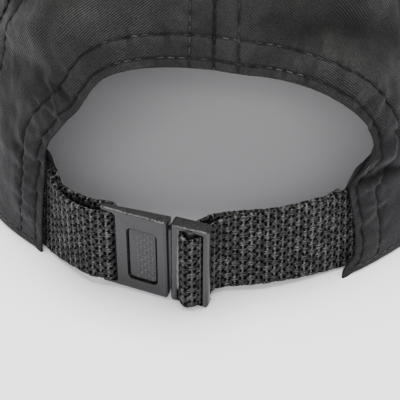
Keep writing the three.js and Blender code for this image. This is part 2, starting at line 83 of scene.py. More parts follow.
# crown
RIM_HALF_WIDTH = 80.0
RIM_HALF_LENGTH = 98.0
CROWN_HEIGHT = 117.0
BACK_FULLNESS = 1.52
SIDE_FULLNESS = 1.95
FRONT_FULLNESS = 2.45
FRONT_LIFT = 18.0
LIFT_START = 80 * DEG
BUTTON_HOLE = 5.0
PANEL_THICK = 1.5
PANEL_PUFF = 1.6
INNER_DENT = 0.33
THIN_WALL = 0.35
CLOTH_HEIGHT = 140.0
CLOTH_PER_RADIAN = 88
GORE_WIDTH = 93.0
GORE_RISE = 150.0
FLAT_BY_RIM = 0.15
GAP = 0.35
PANEL_ANGLE = np.pi / 3
SEAM_ANGLES = [k * PANEL_ANGLE for k in range(6)]

# main dents: angle from the back, height share, depth, length, width, turn
DENTS = [
    ("fold above the arch", 33, 0.44, 2.4, 22, 9, 0),
    ("left side", -78, 0.5, 2.5, 26, 16, 35),
    ("right side", 84, 0.42, 2.5, 28, 14, -30),
    ("front left", -148, 0.66, 2.0, 24, 15, 20),
]

# finer folds of the cloth, in the same columns, with ridges as negative depths
FOLDS = [
    ("valley under the right sheen", 44, 0.425, 1.5, 26, 5, -6),
    ("ridge over the arch, right", 27, 0.375, -0.7, 16, 4, -10),
    ("ridge over the fold", 40, 0.52, -1.0, 30, 8, -4),
    ("valley right of the seam", 11, 0.53, 0.5, 12, 4, 40),
    ("sheen, upper left", -52, 0.40, -1.2, 20, 8, 10),
    ("valley, left", -46, 0.31, 0.9, 18, 5, 16),
    ("crease across the hem, left 1", -35.5, 0.345, 0.55, 6, 1.3, -38),
    ("crease across the hem, left 2", -39.5, 0.365, 0.5, 8, 1.4, -42),
    ("crease across the hem, left 3", -30.0, 0.40, 0.45, 5, 1.2, -52),
    ("crease across the hem, left 4", -22.0, 0.44, 0.35, 5, 1.2, -60),
    ("crease across the hem, right 1", 36.5, 0.285, 0.5, 6, 1.3, 30),
    ("crease across the hem, right 2", 26.0, 0.40, 0.35, 5, 1.2, 55),
    ("left wall", -60, 0.15, 0.9, 30, 9, 8),
    ("right wall", 50, 0.16, 0.8, 24, 8, -14),
    ("side left low", -96, 0.3, 1.4, 30, 10, -20),
    ("side right low", 104, 0.28, 1.4, 30, 10, 22),
    ("front right high", 152, 0.7, 1.3, 26, 12, -25),
    ("front left low", -165, 0.35, 1.0, 24, 10, 15),
    ("top back", 6, 0.8, 1.0, 20, 10, 20),
]

# creases: depth (below 0 for a ridge), width, painted shading (below 0 painted shade, above 0 painted light
# and sheen), then angle from the back and height share
CREASES = [
    ("valley over the arch, right", 1.5, 4.0, -0.38,
     [(18, 0.46), (23, 0.468), (29, 0.466), (34, 0.46), (39, 0.43), (43, 0.405), (49, 0.375)]),
    ("puffed cloth under the valley", -1.4, 7.5, 0.30, [(27, 0.42), (33, 0.38), (38, 0.35), (45, 0.30)]),
    ("ridge, upper right", -1.0, 4.5, 0.26, [(35, 0.485), (43, 0.45), (52, 0.41)]),
    ("streak right of the seam", 0.35, 1.6, -0.16, [(11, 0.48), (16, 0.50)]),
    ("facet by the hem, right 1", 0.6, 2.6, -0.28, [(34, 0.35), (37, 0.30)]),
    ("facet by the hem, right 2", 0.6, 2.6, -0.26, [(36, 0.29), (40, 0.22)]),
    ("facet by the hem, right 3", -0.5, 2.2, 0.16, [(32, 0.36), (35, 0.33)]),
    ("crease at the strap, right", 1.3, 1.2, -0.55, [(28.5, 0.21), (34, 0.203), (38, 0.198), (44, 0.175)]),
    ("roll over the strap, right", -1.1, 2.2, 0.25, [(30, 0.235), (34, 0.228), (39, 0.218), (44, 0.20)]),
    ("sheen band, left", -1.3, 5.0, 0.42,
     [(-62, 0.29), (-57, 0.325), (-49, 0.385), (-42, 0.43), (-35, 0.47)]),
    ("valley over the sheen, left", 1.0, 3.6, -0.3, [(-66, 0.34), (-60, 0.37), (-54, 0.41), (-49, 0.45)]),
    ("shade on the left wall", 0.0, 7.5, -0.70,
     [(-52, 0.27), (-48.5, 0.24), (-46.5, 0.17), (-46.4, 0.11), (-46.6, 0.06)]),
    ("light on the upper left", 0.0, 8.0, 0.45, [(-43, 0.438), (-33.4, 0.461), (-25, 0.475)]),
    ("shade on the right wall", 0.0, 9.0, -0.18, [(40, 0.25), (38.5, 0.17), (38, 0.10)]),
    ("shade low on the right", 0.0, 8.0, -0.11, [(39, 0.15), (37.8, 0.11), (37.6, 0.06)]),
    ("shade, upper middle", 0.0, 7.0, -0.14, [(12, 0.51), (22, 0.50)]),
    ("dent, left", 0.9, 2.8, -0.22, [(-52, 0.315), (-46, 0.335), (-40, 0.345)]),
    ("pleat at the hem, left 1", 0.5, 1.1, -0.30, [(-43, 0.328), (-38, 0.320)]),
    ("pleat at the hem, left 2", 0.5, 1.1, -0.34, [(-40, 0.336), (-35, 0.323)]),
    ("pleat at the hem, left 3", 0.45, 1.0, -0.30, [(-37.5, 0.340), (-33, 0.322)]),
    ("pleat at the hem, left 4", 0.45, 1.0, -0.30, [(-41, 0.312), (-35.5, 0.302)]),
    ("pleat at the hem, left 5", 0.4, 0.9, -0.24, [(-39.5, 0.296), (-36, 0.284)]),
    ("crease over the hem, left", 0.5, 1.5, -0.2, [(-39, 0.413), (-33, 0.420)]),
    ("soft ridge, upper middle", -0.5, 6.0, 0.12, [(-30, 0.47), (-20, 0.50), (-10, 0.515)]),
    ("crease near the rim, left", 0.7, 1.6, -0.25, [(-50, 0.05), (-46, 0.03)]),
    ("side fold, left", 1.2, 5.0, -0.2, [(-95, 0.25), (-88, 0.4), (-80, 0.5)]),
    ("side fold, right", 1.2, 5.0, -0.2, [(92, 0.22), (86, 0.38), (84, 0.55)]),
    ("front fold, left", -0.8, 6.0, 0.12, [(-150, 0.4), (-140, 0.55), (-128, 0.62)]),
    ("front fold, right", 0.9, 5.0, -0.14, [(140, 0.3), (150, 0.45), (156, 0.62)]),
]

# edge of the arch, from its lower left corner over the top to its lower right corner
ARCH_EDGE = np.array([
    (-48.0, -4), (-47.9, 1.3), (-47.3, 13), (-47.0, 25), (-46.0, 32.4), (-42.0, 38.6),
    (-37.0, 45), (-30.0, 54.2), (-20.7, 58.4), (-8.8, 59.7), (6.9, 58.3), (17.4, 56.5),
    (28.0, 52.4), (36.3, 46.7), (42.0, 40.2), (43.9, 34.1), (40.8, 30.8), (37.4, 26.5),
    (38.3, 20), (39.7, 12.5), (39.7, 8), (39.2, 5.4), (37.8, 4.2), (36.5, 2.9), (36.1, 1.2), (36.4, -4),
])

# hem and seams
HEM_ROW_INNER = 2.6
HEM_ROW_OUTER = 8.7
# how far from the middle the hem's thread is drawn in its lit copy
HEM_LIT_REACH = 30.0
HEM_EDGE_THICK = 0.6
SEAM_ROW = 6.4
RIM_ROW = 2.3
RIM_FLARE = 1.0
STITCH_PITCH = 3.0
STITCH_LENGTH = 2.35
THREAD_RADIUS = 0.15

# peak
PEAK_SPAN = 66 * DEG
PEAK_HALF_WIDTH = 80.0
PEAK_CORNER_Y = 37.0
PEAK_CORNER_SHARE = 0.07
PEAK_CORNER_KEPT = 0.12
PEAK_ROUNDNESS = 0.85
PEAK_ARCH = 20.0
PEAK_THICK = 3.0
PEAK_GAP = 0.45
PEAK_ROWS = [0.1, 0.25, 0.4, 0.55, 0.7, 0.84, 0.95]

# sweatband
BAND_HEIGHT = 33.0
BAND_THICK = 1.2
BAND_START = (29.0 * DEG, 31.5 * DEG)
BAND_END_DROP = 5.5
BAND_END = (321.6 * DEG, 320.4 * DEG)
BAND_GAP = 0.7
BAND_LENGTH = 430
BAND_PER_RADIAN = 86
BAND_EXTRA_INSET = 4.0
BAND_EXTRA_FLAT = 17 * DEG
BAND_EXTRA_SPAN = 16 * DEG

# button and tapes
BUTTON_RADIUS = 7.5
BUTTON_HEIGHT = 4.2
CRIMP_DROP = 4.6
TAPE_HALF_WIDTH = 6.3
TAPE_GAP = 0.45
TAPE_THICK = 0.5

# weaves of the twill and of the knitted band
RIB_PITCH = 0.58
KNIT_PITCH = 0.9

# webbing
WEB_THICK = 1.3
WEB_BOTTOM = 1.9
WEB_TOP = 26.7
WEB_GAP = 0.6
WARP_PITCH = 1.38
WEFT_PITCH = 2.16
WEB_SHADOW = 1.9
KNUCKLE_HEIGHT = 0.30
WEB_STEP = 0.3
WEB_EDGE_ROUND = 0.5
WEB_END_ROUND = 0.4
LAYER_INSET = PANEL_THICK + WEB_GAP + WEB_THICK / 2

# buckle
BUCKLE_HEIGHT = 28.0
BUCKLE_TILT = 3.6 * DEG
RAIL = 1.25
SOCKET_PLACE = (-19.0, -95.1, 0.6)
SOCKET_TURN = -20.5 * DEG
SOCKET_ROLL = 1.2 * DEG
SOCKET_LEFT = -6.92
SOCKET_RIGHT = 7.74
SOCKET_ARM = -11.7
SOCKET_THICK = 4.6
SOCKET_BAR = (-10.05, 2.0, 1.0)
SOCKET_TAPER = (1.1, 3.2)
TAPER_SLOPE = 0.95
WINDOW = (-3.84, 5.0, 4.0, 22.8)
WINDOW_CORNER = 1.6
CAVITY = (-5.4, 2.3, 25.1, 1.1, 3.5)
TONGUE = (-4.7, 2.7, 24.7, 1.45, 3.15)
TONGUE_INTO_FRAME = 0.8
PAD_INSET = 0.65
PAD_FRONT = 0.5
SLIDER_TURN = -17 * DEG
SLIDER_ROLL = 1.6 * DEG
SLIDER_LENGTH = 10.95
SLIDER_THICK = 4.1
SLIDER_BOTTOM_RAIL = 0.7
SLIDER_LEFT_BAR = 2.0
SLIDER_RIGHT_BAR = (1.5, 1.7)
SLIDER_BAR = (5.65, 0.95, 1.5)
JOINT_GAP = 0.6
BAR_GAP = 0.42
WEB_IN_SOCKET = 1.6
WEB_IN_SLIDER = 1.1
WEB_LOOP_FRONT = 0.2


def smooth_step(t):
    t = np.clip(t, 0, 1)
    return t * t * (3 - 2 * t)


def signed(angle):
    return (angle + np.pi) % (2 * np.pi) - np.pi


def gauss(t):
    return np.exp(-t * t)


def length_along(points):
    """Distance from the first point to each, along the line."""
    return np.concatenate([[0], np.cumsum(np.linalg.norm(np.diff(points, axis=0), axis=1))])


def points_at(places, run, points):
    return np.stack([np.interp(places, run, column) for column in points.T], -1)


# crown surface
def fullness(angle):
    c = np.cos(angle)
    end = np.where(c > 0, BACK_FULLNESS, FRONT_FULLNESS)
    return SIDE_FULLNESS + (end - SIDE_FULLNESS) * c * c


def rim_height(angle):
    return FRONT_LIFT * smooth_step((np.abs(signed(angle)) - LIFT_START) / (np.pi - LIFT_START))


def end_of_arc(angle):
    radius = np.hypot(RIM_HALF_WIDTH * np.sin(angle), RIM_HALF_LENGTH * np.cos(angle))
    return np.arccos((BUTTON_HOLE / radius) ** (fullness(angle) / 2))


def crown_base(angle, share):
    n = fullness(angle)
    arc = np.clip(share, 0, None) * end_of_arc(angle)
    across = np.clip(np.cos(arc), 0, None) ** (2 / n)
    up = np.sin(arc) ** (2 / n)
    rim = rim_height(angle)
    x = RIM_HALF_WIDTH * np.sin(angle) * across
    y = -RIM_HALF_LENGTH * np.cos(angle) * across
    return np.stack([x, y, rim + (CROWN_HEIGHT - rim) * up], -1)


def crown_normal(angle, share):
    e = 0.002
    low = np.minimum(share, 1 - e)
    round_way = crown_base(angle + e, share) - crown_base(angle - e, share)
    up_way = crown_base(angle, low + e) - crown_base(angle, low)
    out = np.cross(round_way, up_way)
    out[..., 2] = np.where(share <= 0, 0, out[..., 2])
    return out / np.linalg.norm(out, axis=-1, keepdims=True)


def ring_radius(angle, share):
    """How many mm of cloth one radian of angle takes at this height."""
    across = np.clip(np.cos(share * end_of_arc(angle)), 1e-4, None) ** (2 / fullness(angle))
    return across * np.hypot(RIM_HALF_WIDTH * np.cos(angle), RIM_HALF_LENGTH * np.sin(angle))


def dents(angle, share, table):
    out = 0
    for name, degrees, dent_share, depth, length, width, turn in table:
        middle = crown_base(np.array(degrees * DEG), np.array(dent_share))
        around = signed(angle - degrees * DEG) * np.hypot(middle[0], middle[1])
        up = (share - dent_share) * CLOTH_HEIGHT
        c, s = np.cos(turn * DEG), np.sin(turn * DEG)
        out = out + depth * gauss((around * c + up * s) / length) * gauss((up * c - around * s) / width)
    return out


def puff(angle, share):
    out = PANEL_PUFF * np.abs(np.sin(3 * angle)) * np.sin(np.pi * np.clip(share, 0, 1)) ** 1.5
    return (out - dents(angle, share, DENTS)) * smooth_step(share / FLAT_BY_RIM)


def crown_point(angle, share, inset=0.0):
    lift = puff(angle, share) - inset
    return crown_base(angle, share) + crown_normal(angle, share) * np.asarray(lift)[..., None]


def share_at(angle, height):
    up = height / (CROWN_HEIGHT - rim_height(angle))
    return np.arcsin(up ** (fullness(angle) / 2)) / end_of_arc(angle)


# arch edge on the crown, as angle and height share
def spline(points, count):
    """Catmull-Rom through the points, evenly spread over its pieces."""
    p = np.asarray(points, float)
    p = np.vstack([2 * p[0] - p[1], p, 2 * p[-1] - p[-2]])
    t = np.linspace(0, len(p) - 3 - 1e-9, count)
    i = t.astype(int)
    w = (t - i)[:, None]
    a, b, c, d = p[i], p[i + 1], p[i + 2], p[i + 3]
    square, cube = w ** 2, w ** 3
    return 0.5 * (2 * b + (c - a) * w + (2 * a - 5 * b + 4 * c - d) * square + (3 * b - a - 3 * c + d) * cube)


def even(points, step):
    """The same curve with points an even step apart."""
    run = length_along(points)
    count = max(int(round(run[-1] / step)) + 1, 3)
    return points_at(np.linspace(0, run[-1], count), run, points)


def find_on_crown(x, z):
    """Angle and share of the back wall's points with this x and z."""
    angle = np.arcsin(np.clip(x / RIM_HALF_WIDTH, -1, 1)) * 1.1
    share = np.clip(z, 0.5, None) / CROWN_HEIGHT * 0.8
    for _ in range(30):
        e = 1e-4
        here = crown_point(angle, share)
        da = (crown_point(angle + e, share) - here) / e
        ds = (crown_point(angle, share + e) - here) / e
        rx, rz = x - here[:, 0], z - here[:, 2]
        det = da[:, 0] * ds[:, 2] - ds[:, 0] * da[:, 2]
        angle = angle + np.clip((rx * ds[:, 2] - ds[:, 0] * rz) / det, -0.1, 0.1)
        share = np.clip(share + np.clip((da[:, 0] * rz - rx * da[:, 2]) / det, -0.06, 0.06), 0.002, 0.9)
    return angle, share


edge_xz = even(spline(ARCH_EDGE, 900), 0.3)
edge_xz = edge_xz[edge_xz[:, 1] >= 0.3]
edge_angle, edge_share = find_on_crown(edge_xz[:, 0], edge_xz[:, 1])
edge_share[0] = 0
edge_share[-1] = 0
edge_points = crown_point(edge_angle, edge_share)
edge_run = length_along(edge_points)
edge_tree = KDTree(len(edge_points))
for k, point in enumerate(edge_points):
    edge_tree.insert(point, k)
edge_tree.balance()


def to_segment(points, a, b):
    """How far along the segment each point lies, from 0 to 1, and how far away from it."""
    along = b - a
    w = np.clip(((points - a) * along).sum(-1) / (along ** 2).sum(-1), 0, 1)
    return w, np.linalg.norm(points - a - along * w[:, None], axis=1)


def arch_distance(points):
    """Distance to the arch's edge and place along it, for points on the back of the crown."""
    flat = points.reshape(-1, 3)
    near = np.array([edge_tree.find(p)[1] for p in flat])
    best = np.full(len(flat), FAR)
    place = np.zeros(len(flat))
    for step in (-1, 0):
        i = np.clip(near + step, 0, len(edge_points) - 2)
        w, d = to_segment(flat, edge_points[i], edge_points[i + 1])
        closer = d < best
        best[closer] = d[closer]
        place[closer] = (edge_run[i] + (edge_run[i + 1] - edge_run[i]) * w)[closer]
    shape = points.shape[:-1]
    return best.reshape(shape), place.reshape(shape)


# cloth relief
rng = np.random.default_rng(7)
WAVES = []
for wave_length, height in ((46, 0.42), (27, 0.30), (15, 0.20), (8.5, 0.10), (5, 0.045)):
    for _ in range(5):
        way = rng.uniform(0, np.pi)
        start = rng.uniform(0, 1)
        WAVES.append((np.cos(way) / wave_length, np.sin(way) / wave_length, start, height / 5 ** 0.5))
PUCKERS = []
for wave_length, height in ((12.5, 0.10), (7.3, 0.13), (4.6, 0.11), (3.0, 0.08)):
    for _ in range(2):
        PUCKERS.append((1 / (wave_length * rng.uniform(0.9, 1.1)), rng.uniform(0, 1), height))


def cloth_waves(u, v):
    out = 0
    for wu, wv, start, height in WAVES:
        out = out + height * np.sin(2 * np.pi * (u * wu + v * wv + start))
    return out


def pucker(along, aside):
    out = 0
    for k, (rate, start, height) in enumerate(PUCKERS):
        out = out + height * np.sin(2 * np.pi * ((along + (0.35 if k % 2 else -0.3) * aside) * rate + start))
    return out


def round_edge(distance, half):
    """How far a cloth's face drops towards its folded edge."""
    t = 1 - np.clip(distance / half, 0, 1)
    return half * (1 - np.sqrt(np.clip(1 - t * t, 0, 1)))


ANGLE_STEPS = 180
SHARE_STEPS = 200
table_angle = np.linspace(-np.pi, np.pi, ANGLE_STEPS + 1)
table_share = np.linspace(0, 1, SHARE_STEPS + 1)
table_points = crown_base(*np.meshgrid(table_angle, table_share, indexing="ij"))
table_rise = np.concatenate([
    np.zeros((ANGLE_STEPS + 1, 1)),
    np.cumsum(np.linalg.norm(np.diff(table_points, axis=1), axis=-1), axis=1),
], 1)


def rise(angle, share):
    """Length of cloth from the rim up to this share."""
    i = (signed(angle) + np.pi) / (2 * np.pi) * ANGLE_STEPS
    j = np.clip(share, 0, 1) * SHARE_STEPS
    i0 = np.clip(i.astype(int), 0, ANGLE_STEPS - 1)
    j0 = np.clip(j.astype(int), 0, SHARE_STEPS - 1)
    wi, wj = i - i0, j - j0
    low = table_rise[i0, j0] * (1 - wj) + table_rise[i0, j0 + 1] * wj
    high = table_rise[i0 + 1, j0] * (1 - wj) + table_rise[i0 + 1, j0 + 1] * wj
    return low * (1 - wi) + high * wi


def crease_lines():
    lines = []
    for name, depth, width, painted_shading, places in CREASES:
        run = spline(np.array(places, float), 8 * len(places))
        lines.append((depth, width, painted_shading, even(crown_base(run[:, 0] * DEG, run[:, 1]), 1.5)))
    return lines


CREASE_LINES = crease_lines()


def creases(points):
    """Relief and painted shading of the creases at points of the crown: painted shade in valleys, dents and
    on the walls, painted light on ridges and sheen bands.
    """
    flat = points.reshape(-1, 3)
    relief = np.zeros(len(flat))
    painted_shading = np.zeros(len(flat))
    for depth, width, change, line in CREASE_LINES:
        reach = 3 * width
        near = np.all((flat > line.min(0) - reach) & (flat < line.max(0) + reach), axis=1)
        if not near.any():
            continue
        some = flat[near]
        best = np.full(len(some), FAR)
        place = np.zeros(len(some))
        for k in range(len(line) - 1):
            w, d = to_segment(some, line[k], line[k + 1])
            closer = d < best
            best[closer] = d[closer]
            place[closer] = ((k + w) / (len(line) - 1))[closer]
        fade = np.sin(np.pi * np.clip(place, 0, 1)) ** 0.6 + 0.12
        relief[near] -= depth * gauss(best / width) * fade
        painted_shading[near] += change * gauss(best / width / 1.1) * fade
    return relief.reshape(points.shape[:-1]), painted_shading.reshape(points.shape[:-1])


def seam_distance(angle, share):
    nearest = np.round(angle / PANEL_ANGLE) * PANEL_ANGLE
    return np.abs(angle - nearest) * ring_radius(angle, share)


def cloth(angle, share, has_arch, inner=False):
    """Point of the finished cloth, with its stitch rows as distances for the material, and its painted
    shading.
    """
    seam = seam_distance(angle, share)
    up = rise(angle, share)
    u = signed(angle) * CLOTH_PER_RADIAN
    free = smooth_step(up / 10) * smooth_step(seam / 7)
    relief = cloth_waves(u, up) * (0.25 + 0.75 * free)
    relief = relief - dents(angle, share, FOLDS) * smooth_step(up / 8)
    folded, painted_shading = creases(crown_base(angle, share))
    relief = relief + folded * smooth_step(up / 5) * smooth_step(share * 8)
    near_row = gauss((seam - SEAM_ROW) / 3.2)
    relief = relief + pucker(up + 37 * np.round(angle), seam) * 0.55 * near_row
    relief = relief + 0.28 * gauss((seam - SEAM_ROW / 2) / 2.0)
    relief = relief - 0.22 * gauss((seam - SEAM_ROW) / 0.55)
    row = np.abs(seam - SEAM_ROW)
    rim_drop = round_edge(up, PANEL_THICK / 2)
    relief = relief - 0.2 * gauss((up - RIM_ROW) / 0.5) + 0.12 * pucker(u, up) * gauss((up - RIM_ROW) / 3)
    row = np.minimum(row, np.abs(up - RIM_ROW))
    edge_drop = 0
    wall = PANEL_THICK
    if has_arch:
        d, along = arch_distance(crown_point(angle, share))
        edge_drop = round_edge(d, HEM_EDGE_THICK / 2)
        wall = HEM_EDGE_THICK + (PANEL_THICK - HEM_EDGE_THICK) * smooth_step((d - 0.8) / 5)
        # painted shade: a thin dark line along the arch's edge, fading out between 36 and 44 mm of rise
        painted_shading = painted_shading - 0.45 * gauss(d / 0.5) * smooth_step((44 - up) / 8)
        hem = gauss((d - HEM_ROW_INNER) / 2.6) + gauss((d - HEM_ROW_OUTER) / 3.0)
        relief = relief + pucker(along, d) * 1.25 * hem * smooth_step(d / 1.2)
        between = np.clip((d - HEM_ROW_INNER) / (HEM_ROW_OUTER - HEM_ROW_INNER), 0, 1)
        relief = relief + 0.38 * np.sin(np.pi * between) ** 0.8
        relief = relief - 0.3 * gauss((d - HEM_ROW_INNER) / 0.5) - 0.34 * gauss((d - HEM_ROW_OUTER) / 0.55)
        row = np.minimum(row, np.minimum(np.abs(d - HEM_ROW_INNER), np.abs(d - HEM_ROW_OUTER)))
    seam_drop = 0.28 * gauss(seam / 0.4)
    drop = np.maximum(rim_drop, edge_drop)
    if inner:
        inset = wall - drop + seam_drop * 0.4
        relief = np.minimum(np.maximum(relief * 0.6, -INNER_DENT), relief + wall - THIN_WALL)
    else:
        inset = drop + seam_drop
    fade = smooth_step(share * 6 + 0.02)
    flare = RIM_FLARE * gauss(up / 9) * smooth_step((np.abs(signed(angle)) - 36 * DEG) / (14 * DEG))
    flare = flare * smooth_step((LIFT_START - np.abs(signed(angle))) / (10 * DEG))
    lift = puff(angle, share) + relief * fade - inset + (0 if inner else flare)
    point = crown_base(angle, share) + crown_normal(angle, share) * lift[..., None]
    point[..., 2] = np.maximum(point[..., 2], 0.0)
    return point, row, seam, up, painted_shading


# meshes
def to_world(points):
    out = np.array(points, float).reshape(-1, 3)
    out[:, 1] += CAP_Y
    return out * MM


def link(name, data):
    obj = bpy.data.objects.new(name, data)
    bpy.context.collection.objects.link(obj)
    return obj


def make_object(name, points, faces, uv=None, attributes=None):
    mesh = bpy.data.meshes.new(name)
    mesh.from_pydata(to_world(points).tolist(), [], [tuple(f) for f in faces])
    mesh.update()
    if uv is not None:
        layer = mesh.uv_layers.new(name="cloth")
        index = np.empty(len(mesh.loops), int)
        mesh.loops.foreach_get("vertex_index", index)
        layer.data.foreach_set("uv", (np.asarray(uv) * MM)[index].ravel())
    for key, values in (attributes or {}).items():
        mesh.attributes.new(key, "FLOAT", "POINT").data.foreach_set("value", np.asarray(values, np.float32))
    mesh.polygons.foreach_set("use_smooth", [True] * len(mesh.polygons))
    return link(name, mesh)


def grid_faces(rows, columns, start=0, flip=False, wrap=False):
    i, j = np.meshgrid(np.arange(rows - (0 if wrap else 1)), np.arange(columns - 1), indexing="ij")
    a = i * columns + j
    b = (i + 1) % rows * columns + j
    quads = np.stack([a, b, b + 1, a + 1], -1).reshape(-1, 4) + start
    return quads[:, ::-1] if flip else quads


def closed_sheet(front, back):
    """Points and faces of a solid whose two faces are grids of the same size."""
    rows, columns = front.shape[:2]
    side = rows * columns
    points = np.concatenate([front.reshape(-1, 3), back.reshape(-1, 3)])
    faces = [grid_faces(rows, columns), grid_faces(rows, columns, side, flip=True)]
    index = np.arange(side).reshape(rows, columns)
    rim = np.concatenate([index[:-1, 0], index[-1, :-1], index[:0:-1, -1], index[0, :0:-1]])
    after = np.roll(rim, -1)
    faces.append(np.stack([after, rim, rim + side, after + side], -1))
    return points, np.concatenate(faces)


def finish(obj, material, node, slot_name):
    obj.data.materials.clear()
    obj.data.materials.append(material)
    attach(obj, "root")
    if node:
        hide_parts(node)


def add_sheet(name, finish_as, front, back, across, up, flip=False, **attributes):
    """A piece between two grids; across and up are its cloth's, an attribute has a grid for each face."""
    order = slice(None, None, -1 if flip else 1)
    points, faces = closed_sheet(front[:, order], back[:, order])
    uv = np.stack([across[:, order], up[:, order]], -1).reshape(-1, 2)
    for key, grids in attributes.items():
        attributes[key] = np.concatenate([grid[:, order].ravel() for grid in grids])
    obj = make_object(name, points, faces, np.concatenate([uv, uv]), attributes)
    finish(obj, *finish_as)


# materials
class Look:
    """A material with its shader, and short ways to add the nodes that feed it."""

    def __init__(self, name, colour, roughness, specular):
        self.material = bpy.data.materials.new(name)
        self.material.use_nodes = True
        self.tree = self.material.node_tree
        self.place = self.add("TexCoord", "Object")
        self.set("Base Color", colour)
        self.set("Roughness", roughness)
        self.set("Specular IOR Level", specular)

    def feed(self, socket, value):
        if isinstance(value, bpy.types.NodeSocket):
            self.tree.links.new(value, socket)
        else:
            socket.default_value = (*value, 1) if socket.type == "RGBA" else value

    def set(self, key, value):
        self.feed(self.tree.nodes["Principled BSDF"].inputs[key], value)

    def add(self, kind, output, inputs=(), **settings):
        node = self.tree.nodes.new("ShaderNode" + kind)
        for key, value in settings.items():
            setattr(node, key, value)
        for key, value in dict(inputs).items():
            self.feed(node.inputs[key], value)
        return node.outputs[output]

    def math(self, operation, *values, clamp=False):
        return self.add("Math", 0, enumerate(values), operation=operation, use_clamp=clamp)

    def times(self, first, second, clamp=False):
        return self.math("MULTIPLY", first, second, clamp=clamp)

    def wave(self, value, rate):
        return self.math("SINE", self.times(value, rate))

    def half_wave(self, angle):
        """A sine between 0 and 1."""
        return self.math("MULTIPLY_ADD", self.math("SINE", angle), 0.5, 0.5)

    def dot(self, vector, direction):
        return self.add("VectorMath", "Value", {0: vector, 1: direction}, operation="DOT_PRODUCT")

    def mix(self, factor, first, second, blend="MIX"):
        return self.add("Mix", 2, {0: factor, 6: first, 7: second}, data_type="RGBA", blend_type=blend)

    def noise(self, scale, detail, roughness=0.5, vector=None):
        inputs = {"Vector": vector or self.place, "Scale": scale, "Detail": detail, "Roughness": roughness}
        return self.add("TexNoise", "Fac", inputs)

    def range(self, value, low, high, to_low=0.0, to_high=1.0):
        inputs = {"Value": value, "From Min": low, "From Max": high, "To Min": to_low, "To Max": to_high}
        return self.add("MapRange", "Result", inputs)

    def bump(self, height, distance, strength, first=None):
        inputs = {"Height": height, "Distance": distance, "Strength": strength}
        if first:
            inputs["Normal"] = first
        normal = self.add("Bump", "Normal", inputs)
        self.set("Normal", normal)
        return normal

    def attribute(self, name):
        return self.add("Attribute", "Fac", attribute_name=name)

    def cloth_uv(self):
        return self.add("UVMap", "UV", uv_map="cloth")

    def grey(self, value):
        return self.add("CombineColor", 0, {"Red": value, "Green": value, "Blue": value})


def cloth_material(name, lean):
    """Fine nylon twill whose ribs lean by this many degrees in the cloth's own plane."""
    dark, light = (0.004, 0.0042, 0.0042), (0.0215, 0.022, 0.0213)
    look = Look(name, dark, 0.62, 0.09)
    look.set("Sheen Weight", 0.03)
    look.set("Sheen Roughness", 0.45)
    uv = look.cloth_uv()
    rate = 2 * np.pi / (RIB_PITCH * MM)
    a = lean * DEG
    across = look.dot(uv, (-np.sin(a), np.cos(a), 0))
    along = look.dot(uv, (np.cos(a), np.sin(a), 0))
    wander = look.times(look.noise(210, 3, vector=uv), 5.0)
    rib = look.half_wave(look.math("ADD", look.times(across, rate), wander))
    beads = look.half_wave(look.times(along, rate * 0.9))
    weave = look.times(rib, look.math("MULTIPLY_ADD", beads, 0.35, 0.65))
    fleck = look.range(look.noise(1300, 3, 0.7, uv), 0.32, 0.68, 0.25, 1.7)
    amount = look.times(weave, fleck, clamp=True)
    height = look.range(look.dot(look.place, (0, 0, 1)), 0.02, 0.09)
    patch = look.range(look.noise(28, 2), 0.3, 0.7, -0.3, 0.3)
    tint = look.mix(look.math("ADD", height, patch, clamp=True), (1.06, 0.98, 1.08), (0.99, 1.03, 0.93))
    # painted shade in the grooves of the stitch rows: the cloth is darker close to each row
    line = look.range(look.attribute("row"), 0.15, 0.7, 0.28, 1.0)
    # painted shade in the seam's groove: darker right at the seam line
    seam_groove_shade = look.range(look.attribute("seam"), 0.02, 0.3, 0.75, 1.0)
    # the crown's painted shading: painted shade in creases, on the walls and along the hem's edge, painted
    # light on ridges and sheen bands
    fold = look.math("ADD", look.attribute("fold"), 1.0)
    blotch = look.range(look.noise(95, 3, 0.6), 0.25, 0.75, 0.66, 1.38)
    # shade: this painted shade and light, times random blotches in the cloth's own colour
    shade = look.times(look.times(look.times(line, seam_groove_shade), fold), blotch)
    colour = look.mix(1, look.mix(amount, dark, light), tint, "MULTIPLY")
    look.set("Base Color", look.mix(1, colour, look.grey(shade), "MULTIPLY"))
    look.set("Roughness", look.range(amount, 0, 1, 0.6, 0.38))
    ribs = look.bump(weave, 0.00011, 0.75)
    look.bump(look.noise(210, 3, 0.55), 0.0006, 0.5, ribs)
    return look.material


def webbing_material():
    look = Look("webbing_black", (0.03, 0.03, 0.032), 0.5, 0.2)
    stretched = look.add("Mapping", "Vector", {"Vector": look.cloth_uv(), "Scale": (1500, 2900, 1)})
    fibre = look.noise(1.0, 2, vector=stretched)
    # lit: the knuckles' painted highlights and painted shade, darker in the gaps between knuckles and near
    # the hem
    lit = look.times(look.range(look.attribute("knuckle"), 0.34, 0.7), look.attribute("shade"))
    lit = look.times(lit, look.range(fibre, 0.4, 0.6, 0.15, 1.75), clamp=True)
    look.set("Base Color", look.mix(lit, (0.0015, 0.0015, 0.0015), (0.29, 0.28, 0.272)))
    look.set("Roughness", look.range(lit, 0, 1, 0.75, 0.45))
    look.set("Specular IOR Level", look.range(lit, 0, 0.5, 0.02, 0.34))
    look.bump(fibre, 0.00016, 0.8)
    return look.material


